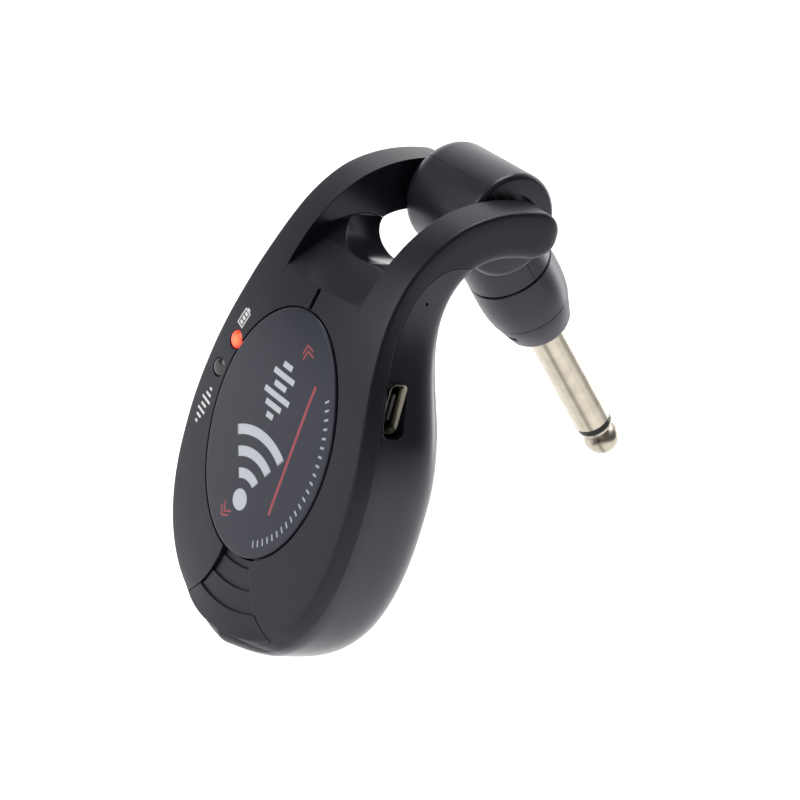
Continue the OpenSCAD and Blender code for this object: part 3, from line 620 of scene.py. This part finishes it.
outer_half = arm_half("arm_outer_form", -20, -0.05)
inner_half = arm_half("arm_inner_form", 0.05, 20)
bpy.data.objects.remove(arm)
settle(outer_half, "arm", "arm_outer_shell")
settle(inner_half, "arm", "arm_inner_shell")
neck_ring = lathe("neck_ring_form", [(NECK_BORE, 14.4), (7.3, 14.4), (7.45, 14.6), (NECK_R, 17.0),
                                     (7.48, 19.5), (7.32, 21.5), (7.0, 23.4), (6.85, 23.52),
                                     (NECK_BORE, 23.52)])
settle(neck_ring, "arm")
print("halves:", len(outer_half.data.polygons), "and", len(inner_half.data.polygons), "faces")

# %% [markdown]
# ## Collar and plug
# Everything below the neck is turned, so each piece is one profile and one lathe: the collar, the
# plug's sleeve, the black ring that insulates it, and the tip with its waist and rounded point.

# %% Collar
COLLAR_BORE, COLLAR_Z, COLLAR_TOP, COLLAR_END = 3.3, 23.6, 6.8, 4.8
collar_form = lathe("collar_form", [
    (COLLAR_BORE, COLLAR_Z), (6.7, COLLAR_Z), (COLLAR_TOP, 23.66), (6.75, 24.1), (5.5, 28.3),
    (5.3, 28.55), (5.1, 28.85), (COLLAR_END, SHOULDER), (COLLAR_BORE, SHOULDER)])
key = prism("key_slot", [(-0.5, 25.5), (2.1, 25.5), (2.1, 26.4), (-0.5, 26.4)], 4.0, 8)
join_cut(collar_form, moved(key, from_arm))
print("collar from radius", COLLAR_TOP, "to", COLLAR_END, "mm")

# %% Sleeve, ring and tip
SLEEVE_L, RING_L, PLUG_L, PLUG_R = 23.2, 1.2, 30.5, 3.175
ring_at, tip_at = SHOULDER + SLEEVE_L, SHOULDER + SLEEVE_L + RING_L
SLEEVE_BORE, RING_BORE, RING_R = 1.5, 0.9, 2.975
sleeve = lathe("plug_sleeve_form", [
    (SLEEVE_BORE, 19.8), (4.9, 19.8), (4.9, 23.5), (3.1, COLLAR_Z), (3.1, SHOULDER),
    (PLUG_R, 29.05), (PLUG_R, ring_at - 0.12), (3.06, ring_at), (SLEEVE_BORE, ring_at)])
ring = lathe("insulator_form", [
    (RING_BORE, ring_at), (2.9, ring_at), (RING_R, ring_at + 0.1), (RING_R, tip_at - 0.1),
    (2.9, tip_at), (RING_BORE, tip_at)])
BALL_R, BALL_Z = 2.98, 3.2
a = np.radians(np.linspace(62, 0, 12))
waist = np.stack([BALL_R * np.cos(a), BALL_Z - 1.9 * np.sin(a)], 1)
a = np.radians(np.linspace(4, 90, 20))
nose = np.stack([BALL_R * np.cos(a),
                 BALL_Z + (PLUG_L - SLEEVE_L - RING_L - BALL_Z) * np.sin(a)], 1)
foot = [[0, 0], [2.9, 0], [RING_R, 0.08], [RING_R, 0.4], [2.75, 0.75], [1.95, 1.25], [1.75, 1.45]]
tip_profile = np.vstack([foot, waist[2:], nose[:-1], [[0, nose[-1, 1]]]]) + [0, tip_at]
tip = lathe("plug_tip_form", tip_profile)
for obj, node, slot in ((collar_form, "collar", "arm_plastic"), (sleeve, "plug_sleeve", "plug_metal"),
                        (ring, "insulator_ring", "insulator"), (tip, "plug_tip", "plug_metal")):
    settle(obj, "arm", node, 35)
print("plug reaches", PLUG_L, "mm past the shoulder")

# %% [markdown]
# ## Writing materials as expressions
# A shader is a graph of nodes. Wiring it by hand in Python takes many lines, so one small class
# wraps a socket: arithmetic on it adds Math nodes, and one method makes any other node. Every
# pattern reads Object coordinates, turned into millimetres round the badge by a Mapping node.

# %% The socket class
class Wire:
    """A node's output in an expression. + - * / ** and abs add Math nodes, also as 1 - wire."""

    def __init__(self, socket):
        self.socket = socket

    def node(self, kind, settings=None, inputs=None, output=0):
        """Adds one node to this wire's tree: settings and ramp stops first, then its sockets."""
        tree = self.socket.id_data
        made = tree.nodes.new(kind)
        for key, value in (settings or {}).items():
            if key == "stops":
                ramp = made.color_ramp.elements
                for place, colour in value[2:]:
                    ramp.new(place)
                for stop, (place, colour) in zip(ramp, value):
                    stop.position, stop.color = place, colour
            else:
                setattr(made, key, value)
        for key, value in (inputs or {}).items():
            if isinstance(value, Wire):
                tree.links.new(value.socket, made.inputs[key])
            else:
                made.inputs[key].default_value = value
        return Wire(made.outputs[output])

    def calc(self, operation, *others, flip=False):
        """One Math node of this wire and the others, in turned order if flipped."""
        values = [*others, self] if flip else [self, *others]
        return self.node("ShaderNodeMath", {"operation": operation}, dict(enumerate(values)))

    __add__ = __radd__ = partialmethod(calc, "ADD")
    __sub__ = partialmethod(calc, "SUBTRACT")
    __rsub__ = partialmethod(calc, "SUBTRACT", flip=True)
    __mul__ = __rmul__ = partialmethod(calc, "MULTIPLY")
    __truediv__ = partialmethod(calc, "DIVIDE")
    __rtruediv__ = partialmethod(calc, "DIVIDE", flip=True)
    __pow__ = partialmethod(calc, "POWER")
    __abs__ = partialmethod(calc, "ABSOLUTE")

    def below(self, edge, soft=0.08):
        """1 where this value is under the edge, 0 above it, with a soft step between."""
        return self.node("ShaderNodeMapRange", {"interpolation_type": "SMOOTHSTEP"},
                         {"Value": self, "From Min": edge - soft, "From Max": edge + soft,
                          "To Min": 1.0, "To Max": 0.0})

    def blend(self, low, high):
        """A colour that goes from low to high as this wire goes from 0 to 1."""
        return self.node("ShaderNodeMix", {"data_type": "RGBA"}, {0: self, 6: low, 7: high}, output=2)


def grey(value, tint=(1.0, 1.0, 1.0)):
    """A colour of one brightness, times a tint."""
    return (value * tint[0], value * tint[1], value * tint[2], 1.0)


print("shader expressions ready")

# %% Starting a material
class Finish:
    """A material with one Principled shader and coordinates in millimetres round the badge."""

    def __init__(self, name, **constants):
        self.material = bpy.data.materials.new(name)
        self.material.use_nodes = True
        self.tree = self.material.node_tree
        self.shader = self.tree.nodes["Principled BSDF"]
        for key, value in constants.items():
            self.shader.inputs[key.replace("_", " ")].default_value = value
        where = Wire(self.tree.nodes.new("ShaderNodeTexCoord").outputs["Object"])
        self.place = where.node("ShaderNodeMapping", {}, {
            "Vector": where, "Location": tuple(-SHIFT), "Scale": (1000, 1000, 1000)})
        xyz = self.place.node("ShaderNodeSeparateXYZ", {}, {"Vector": self.place})
        self.x, self.y, self.z = (Wire(s) for s in xyz.socket.node.outputs)

    def set(self, name, wire):
        """Feeds one of the shader's sockets from a wire."""
        self.tree.links.new(wire.socket, self.shader.inputs[name])

    def noise(self, scale, detail=2.0, roughness=0.5, stretch=(1, 1, 1)):
        """Noise whose cells are about 1/scale mm wide, stretched along the axes if asked."""
        place = self.place
        if stretch != (1, 1, 1):
            place = place.node("ShaderNodeMapping", {}, {"Vector": place, "Scale": stretch})
        return place.node("ShaderNodeTexNoise", {}, {
            "Vector": place, "Scale": scale, "Detail": detail, "Roughness": roughness})

    def bump(self, height, distance_mm, edge_mm=0.0):
        """Height from 0 to 1 becomes relief of the given depth, on edges softened by edge_mm."""
        inputs = {"Height": height, "Distance": distance_mm * MM}
        if edge_mm:
            inputs["Normal"] = height.node("ShaderNodeBevel", {"samples": 6}, {"Radius": edge_mm * MM})
        self.set("Normal", height.node("ShaderNodeBump", {}, inputs))

    def give(self, *objects):
        """Makes this the only material of each object."""
        for obj in objects:
            obj.data.materials.clear()
            obj.data.materials.append(self.material)


print("finish helper ready")

# %% [markdown]
# ## Soft matt plastic
# The housing has the velvety paint that makers spray on small electronics. It is nearly black,
# slightly blue, and rough, with a fine grain that breaks up reflections. Handling polishes such
# paint unevenly, so a slow noise varies its roughness, and its colour a little. The back shell is
# the smoother of the two mouldings, so it gets the same recipe with more gloss.

# %% The housing's paint
def both(*masks):
    """All masks together: the highest value at each place."""
    total = masks[0]
    for mask in masks[1:]:
        total = total.calc("MAXIMUM", mask)
    return total


def radius(a, b):
    """Distance from the point where both coordinates are zero."""
    return (a * a + b * b).calc("SQRT")


TINT = (0.92, 0.90, 1.35)


def soft_paint(name, shade, rough, grain=0.012, gloss=0.34, uneven=0.10, edge=0.22, walls=0.0):
    """Dark paint: colour and roughness drift with slow noise, and fine noise gives the grain.
    The walls between the prongs are smoother, as the mould is polished there."""
    paint = Finish(name, Specular_IOR_Level=gloss, Specular_Tint=(0.87, 0.87, 1.0, 1))
    drift, fine, rub = paint.noise(0.08, 3.0), paint.noise(5.5, 3.0, 0.6), paint.noise(0.35, 4.0, 0.6)
    paint.colour = (0.6 * drift + 0.4 * fine).blend(grey(shade * 0.86, TINT),
                                                    grey(shade * 1.14, TINT))
    paint.set("Base Color", paint.colour)
    side = (1 - abs(paint.x).below(9.9, 0.04)) * (1 - paint.z.below(24.8, 0.3))
    slot_arc = radius(paint.x, paint.z - SLOT_MID).below(SLOT_R + 0.12, 0.06)
    polished = both(side, slot_arc) * abs(paint.x).below(GAP_HALF + 0.03, 0.02)
    paint.set("Roughness", (rough - uneven / 2 + uneven * rub) * (1 - walls * polished))
    paint.bump(fine, grain, edge_mm=edge)
    return paint


housing_paint = soft_paint("housing_paint", 0.0105, 0.38, gloss=0.29, walls=0.55)
soft_paint("shell_paint", 0.0105, 0.25, 0.004, 0.5, 0.03, walls=0.4).give(shell)
print("housing and shell paint ready")

# %% [markdown]
# ## Marks beside the lamps
# Printed marks tell what each lamp means: a small battery for the charge lamp and a row of level
# bars for the signal lamp. They are drawn as masks from the millimetre coordinates, so they stay
# sharp at any distance and need no picture.

# %% Battery and level bars as masks
def turned(finish, cx, cz, degrees):
    """Coordinates round (cx, cz) in the X-Z plane, turned by an angle: a along, b across."""
    c, s = math.cos(math.radians(degrees)), math.sin(math.radians(degrees))
    dx, dz = finish.x - cx, finish.z - cz
    return dx * c + dz * s, dz * c - dx * s


def bar(a, b, a0, a1, b0, b1, soft=0.05):
    """A rectangle from its two ranges: the product of two soft windows."""
    along = abs(a - (a0 + a1) / 2).below((a1 - a0) / 2, soft)
    return along * abs(b - (b0 + b1) / 2).below((b1 - b0) / 2, soft)


a, b = turned(housing_paint, -14.7, 14.7, 72)
battery_mark = both(bar(a, b, -1.5, 1.5, -0.95, 0.95) - bar(a, b, -1.25, 1.25, -0.7, 0.7),
                    bar(a, b, 1.5, 1.85, -0.4, 0.4),
                    *[bar(a, b, k - 0.28, k + 0.28, -0.45, 0.45) for k in (-0.8, 0.0, 0.8)])
a, b = turned(housing_paint, -18.35, -1.9, 75)
level_mark = both(*[bar(a, b, k * 1.05 - 0.22, k * 1.05 + 0.22, -h, h)
                    for k, h in zip(range(-3, 4), (0.35, 0.7, 1.15, 0.8, 1.3, 0.75, 0.35))])
on_face = housing_paint.y.below(2.2, 0.05)
marks = both(battery_mark, level_mark) * on_face
housing_paint.set("Base Color", marks.blend(housing_paint.colour, grey(0.62)))
housing_paint.give(cover)
print("marks beside the lamps ready")

# %% Paints of the arm and the slider
arm_paint = soft_paint("arm_paint", 0.012, 0.34, 0.010, 0.45, edge=0.1)
arm_paint.give(outer_half, inner_half, neck_ring)
soft_paint("collar_paint", 0.022, 0.38, 0.006).give(collar_form)
soft_paint("slider_paint", 0.0105, 0.42, 0.014, 0.29).give(slider)
print("arm, collar and slider painted")

# %% [markdown]
# ## The badge's print
# The badge is a smooth dark plate under a clear coat. Its print is a generic design: a sender dot
# with three arcs and six level bars, a red line beside them, small chevrons at both ends and a row
# of fine ticks along part of the rim.

# %% Badge material
BADGE_TINT = (0.90, 0.97, 1.35)
badge_finish = Finish("badge_face", Coat_Roughness=0.15, Specular_IOR_Level=0.33,
                      Specular_Tint=(0.78, 0.80, 1.0, 1))
slow, fine = badge_finish.noise(0.12, 2.0), badge_finish.noise(3.0, 2.0)
ground = (0.7 * slow + 0.3 * fine).blend(grey(0.013, BADGE_TINT), grey(0.019, BADGE_TINT))
a, b = turned(badge_finish, -2.2, -12.5, 84)
reach = radius(a, b)
bearing = a.calc("ARCTAN2", b, flip=True)
fan_open = abs(bearing).below(0.56, 0.03)
arcs = both(*[abs(reach - r).below(0.85, 0.08) for r in (4.4, 8.0, 11.6)]) * fan_open
dot = reach.below(1.8, 0.08)
levels = both(*[bar(a, b, 15.4 + 1.8 * k - 0.5, 15.4 + 1.8 * k + 0.5, -h, h, 0.06)
                for k, h in enumerate((0.9, 2.1, 3.4, 1.6, 2.8, 1.2))])
grey_print = both(arcs, dot, levels)
stem = bar(a, b, 1.0, 24.5, -7.9, -7.35, 0.06)
a1, b1 = turned(badge_finish, 3.6, 15.6, 120)
a2, b2 = turned(badge_finish, -5.2, -15.6, 60)


def chevron(a, b, at):
    """A band of constant width round the line a = at - |b|, cut off at its ends."""
    return abs(a + abs(b) - at).below(0.22, 0.06) * abs(b).below(1.2, 0.06)


red_print = both(stem, *[chevron(a1, b1, k) for k in (0.0, 1.0)],
                 *[chevron(a2 * -1.0, b2, k) for k in (0.0, 1.0)])
across, upward = badge_finish.x / BADGE_W, badge_finish.z / BADGE_H
around = upward.calc("ARCTAN2", across)
tick = (abs((around * 12.0).calc("FRACT") - 0.5).below(0.12, 0.04)
        * abs(radius(across, upward) - 0.885).below(0.028, 0.006)
        * abs(around + 0.35).below(0.95, 0.01))
with_grey = both(grey_print, tick * 0.8).blend(ground, grey(0.48, (0.95, 0.98, 1.05)))
badge_finish.set("Base Color", (red_print * (1 - grey_print)).blend(with_grey, (0.30, 0.045, 0.055, 1.0)))
badge_finish.set("Roughness", 0.36 + 0.08 * slow + 0.1 * grey_print)
badge_finish.set("Coat Weight", 0.08 + 0.1 * fine)
badge_finish.bump(both(grey_print, red_print) + 0.05 * fine, 0.01)
badge_finish.give(badge)
print("badge printed")

# %% [markdown]
# ## Lamps
# The charge lamp glows orange-red through its clear lens, brightest in the middle and only near the
# front, so no light leaks through the seam. The signal lamp is off: its lens is a dark glossy dot.

# %% Lit and dark lens
def from_centre(finish, x, z):
    """Distance from the lens's axis."""
    return radius(finish.x - float(x), finish.z - float(z))


lit = Finish("lit_lens", Emission_Strength=1.0, Roughness=0.25)
glow = from_centre(lit, LENS_X[0], LENS_Z[0]).below(0.9, 0.6) * (0.9 + 0.2 * lit.noise(1.5))
front = lit.y.below(float(face_depth(LENS_X[0], LENS_Z[0])) + 0.7, 0.2)
lit.set("Base Color", glow.blend((0.65, 0.05, 0.02, 1), (1.0, 0.16, 0.05, 1)))
lamp_light = glow.blend((0.42, 0.018, 0.006, 1), (1.0, 0.10, 0.025, 1))
lit.set("Emission Color", front.blend(grey(0), lamp_light))
dark = Finish("dark_lens", Specular_IOR_Level=0.55)
ring_tone = from_centre(dark, LENS_X[1], LENS_Z[1]).below(1.1, 0.2) * (0.9 + 0.2 * dark.noise(1.5))
dark.set("Base Color", ring_tone.blend(grey(0.03), grey(0.012, (0.9, 0.9, 1.2))))
dark.set("Roughness", 0.15 + 0.06 * dark.noise(2.0))
print("lamps ready")

# %% [markdown]
# ## Metals and the plug
# The plug is nickel-plated brass, turned on a lathe, so its polish has faint rings round the axis:
# noise that only changes along the plug. Pushing it into sockets draws streaks down its length:
# noise that only changes with the angle round the axis. Three narrow darker bands at fixed angles
# round the axis are painted reflection of a dark surround, not marks on the metal.

# %% Turned nickel
def line_noise(wire):
    """Noise that changes along one measure only."""
    return wire.node("ShaderNodeTexNoise", {"noise_dimensions": "1D"},
                     {"W": wire, "Scale": 1.0, "Detail": 3.0})


def turned_metal(name, rough):
    """Nickel between a dark and a bright tone, by place: h past the plug's shoulder in
    millimetres, and the angle turn round its axis. Three narrow dark bands at fixed angles round
    the axis are painted reflection."""
    metal = Finish(name, Metallic=1.0)
    y, z = metal.y + float(SHIFT[1]), metal.z + float(SHIFT[2])
    h = y * SIN + z * -COS
    turn = (y * -COS - z * SIN).calc("ARCTAN2", metal.x)
    drawn, lines = line_noise(turn * 2.4 + 0.9), line_noise(h * 9.0)
    cloud = metal.noise(0.5, 3.0)
    # Painted reflection: three narrow dark bands at fixed angles round the axis darken the base colour;
    # the tone below mixes random rings, cloud and drawn streaks with this painted reflection.
    painted_reflection_bands = 1 - ((turn - 0.72) * 3.0).calc("COSINE").calc("MAXIMUM", 0.0) ** 14.0
    tone = (0.35 * lines + 0.3 * cloud + 0.35 * drawn) * (0.35 + 0.65 * painted_reflection_bands)
    metal.set("Base Color", tone.blend((0.12, 0.10, 0.075, 1), (0.86, 0.79, 0.66, 1)))
    metal.set("Roughness", rough - 0.04 + 0.08 * cloud + 0.05 * lines)
    metal.bump(lines, 0.006)
    return metal


turned_metal("turned_nickel", 0.19).give(sleeve)
turned_metal("tip_nickel", 0.34).give(tip)
black_ring = Finish("black_ring", Specular_IOR_Level=0.25)
fleck = black_ring.noise(4.0)
black_ring.set("Base Color", fleck.blend(grey(0.003), grey(0.007)))
black_ring.set("Roughness", 0.3 + 0.15 * fleck)
black_ring.give(ring)
print("plug finished")

# %% [markdown]
# ## The small parts inside
# The board, the cell, the screws and the rest keep their CAD shapes. Each finish below is one
# short recipe: a base colour, a pattern that varies it, a roughness and a little relief.

# %% Finishes of the inner parts
def simple(name, low, high, scale, rough, relief=0.01, stretch=(1, 1, 1), metal=0.0):
    """Noise between two colours, with roughness and relief from the same noise."""
    finish = Finish(name, Metallic=metal)
    n = finish.noise(scale, 3.0, 0.55, stretch)
    finish.set("Base Color", n.blend(grey(1, low), grey(1, high)))
    finish.set("Roughness", rough - 0.06 + 0.12 * n)
    finish.bump(n, relief)
    return finish


tin = simple("socket_tin", (0.58, 0.58, 0.57), (0.80, 0.80, 0.78), 1.2, 0.26, 0.004, metal=1)
steel = simple("dark_steel", (0.05, 0.05, 0.055), (0.10, 0.10, 0.11), 2.5, 0.36, 0.006, metal=1)
bronze = simple("bronze_bush", (0.62, 0.40, 0.16), (0.80, 0.56, 0.25), 2.0, 0.3, 0.006, metal=1)
black_moulding = simple("black_moulding", [0.012] * 3, [0.028] * 3, 3.0, 0.5)
nylon = simple("pale_nylon", (0.62, 0.60, 0.52), (0.74, 0.72, 0.64), 1.5, 0.42)
foam = simple("grey_foam", [0.035] * 3, [0.11] * 3, 2.6, 0.9, 0.2)
pouch = simple("cell_pouch", (0.52, 0.54, 0.57), (0.68, 0.70, 0.73), 0.9, 0.34, 0.05, (1, 1, 0.3), 0.85)
print("seven inner finishes")

# %% Board with copper tracks under green lacquer
board = Finish("board_green", Coat_Weight=0.4, Coat_Roughness=0.2)
lanes = abs((board.x * 0.55 + 0.35 * board.noise(0.15)).calc("FRACT") - 0.5).below(0.16, 0.04)
cross_lanes = abs((board.z * 0.40 + 0.35 * board.noise(0.12)).calc("FRACT") - 0.5).below(0.13, 0.04)
tracks = both(lanes * board.noise(0.2).below(0.5, 0.02),
              cross_lanes * board.noise(0.25).below(0.48, 0.02))
board.set("Base Color", tracks.blend((0.012, 0.10, 0.045, 1), (0.03, 0.20, 0.09, 1)))
board.set("Roughness", 0.34 - 0.06 * tracks)
board.bump(tracks, 0.03)
lit.give(lenses["power_lens"])
dark.give(lenses["signal_lens"])
simple("socket_metal", (0.10, 0.09, 0.075), (0.26, 0.24, 0.20), 1.2, 0.3, 0.004, metal=1).give(socket)
for finish, nodes in (
        (board, "circuit_board"), (pouch, "battery"), (foam, "battery_pad"),
        (black_moulding, "usb_tongue board_chips"), (steel, "board_screws housing_screws arm_screw"),
        (nylon, "chip_antenna lamp_chips switch_lever insulating_tube"),
        (bronze, "bush_left bush_right tip_rod"),
        (tin, "shield_can slide_switch hinge_pin_left hinge_pin_right washer_left washer_right "
              "tip_lug sleeve_lug")):
    finish.give(*[frame["nodes"][node] for node in nodes.split()])
print("board and 22 CAD parts finished")

# %% [markdown]
# ## Camera, floor and light
# The view is a long lens from the front and the right, a little above the object. A lens this
# long keeps parallel edges almost parallel. The floor is a flat round pale sheet, 35 mm below the
# object's lowest point.

# %% Camera
def unit(v):
    """The same direction with length 1."""
    return np.asarray(v, float) / np.linalg.norm(v)


def stand(obj, x, y, z, place):
    """Puts an object at a place with its own axes along three directions, and into the scene."""
    columns = np.stack([x, y, z, place], 1)
    obj.matrix_world = Matrix([*columns.tolist(), [0, 0, 0, 1]])
    bpy.context.scene.collection.objects.link(obj)


VIEW = unit([0.714, -0.657, 0.241])
RIGHT = np.array([0.604, 0.7525, 0.262])
RIGHT = unit(RIGHT - VIEW * RIGHT.dot(VIEW))
UP = np.cross(VIEW, RIGHT)
SPAN, DISTANCE = 0.1309, 2.2
target = SHIFT * MM + RIGHT * 0.02155 + UP * 0.0054
camera_data = bpy.data.cameras.new("camera")
camera_data.sensor_width = 36
camera_data.lens = 36 * DISTANCE / SPAN
camera_data.clip_start, camera_data.clip_end = 0.1, 10
camera = bpy.data.objects.new("camera", camera_data)
stand(camera, RIGHT, UP, np.cross(RIGHT, UP), target + VIEW * DISTANCE)
bpy.context.scene.camera = camera
print("camera", [round(v, 3) for v in camera.location], "lens", round(camera_data.lens))

# %% Floor
def disc_sheet(name, radius, height):
    """A flat round sheet: points (r cos t, r sin t, height) on rings that widen outwards."""
    r = np.linspace(0.02, 1, 24)[:, None] * radius
    t = np.linspace(0, 2 * math.pi, 96, endpoint=False)[None, :]
    points = np.stack([r * np.cos(t), r * np.sin(t), height + 0 * r * t], -1).reshape(-1, 3)
    mesh = bpy.data.meshes.new(name)
    mesh.from_pydata(points.tolist(), [], [f[::-1] for f in grid_faces(24, 96)] + [list(range(96))])
    sheet = bpy.data.objects.new(name, mesh)
    bpy.context.scene.collection.objects.link(sheet)
    return sheet


floor_z = float(cad_low[2]) - 0.035
floor = disc_sheet("floor", 6.0, floor_z)
pale = Finish("pale_floor", Emission_Color=(1, 1, 1, 1), Emission_Strength=0.55)
dust = pale.noise(0.02)
pale.set("Base Color", dust.blend(grey(0.80), grey(0.84)))
pale.set("Roughness", 0.7 + 0.1 * dust)
pale.give(floor)
print("floor at height", round(floor_z, 4), "m")

# %% [markdown]
# ## Light
# The floor glows a little, as a light table does, so it stays pale in every view and lights the
# underside.
#
# A light tent is a white box with the object inside it. Black objects show little but what they
# mirror, so the world is dark on the camera's side and bright behind the object: the bright wall
# runs along every rounded edge as a rim of light. Seen straight on, the world is plain white. One
# large soft light hangs above on the left, a long one behind on the right draws the bright line
# down the back, and one hangs overhead.

# %% World and lights
world = bpy.data.worlds.new("tent")
bpy.context.scene.world = world
world.use_nodes = True
background = world.node_tree.nodes["Background"]
background.inputs["Color"].default_value = (1, 1, 1, 1)
direction = Wire(world.node_tree.nodes.new("ShaderNodeTexCoord").outputs["Generated"])
behind = direction.node("ShaderNodeVectorMath", {"operation": "DOT_PRODUCT"},
                        {0: direction, 1: tuple(-VIEW)}, output="Value")
above = direction.node("ShaderNodeSeparateXYZ", {}, {0: direction}, output="Z")
seen = direction.node("ShaderNodeLightPath", output="Is Camera Ray")
tent_wall = 1 - behind.below(0.42, 0.38)
strength = (0.04 + 1.7 * tent_wall + 0.12 * (1 - above.below(0.5, 0.4))) * (1 - seen) + seen
world.node_tree.links.new(strength.socket, background.inputs["Strength"])
bpy.context.scene.view_settings.view_transform = "Standard"


def soft_light(name, right, up, near, width, height, watts):
    """A rectangle of light that faces the object, placed in the camera's own directions."""
    light = bpy.data.lights.new(name, "AREA")
    light.shape, light.size, light.size_y, light.energy = "RECTANGLE", width, height, watts
    obj = bpy.data.objects.new(name, light)
    place = RIGHT * right + UP * up + VIEW * near
    z = unit(place)
    x = unit(np.cross([0, 0, 1], z))
    stand(obj, x, np.cross(z, x), z, place)


soft_light("key", -0.75, 0.45, 0.45, 0.5, 0.6, 4.2)
soft_light("back_strip", 0.65, 0.10, -0.55, 0.25, 0.9, 2.5)
soft_light("top", 0.15, 0.95, 0.05, 0.5, 0.5, 7.0)
print("three lights")
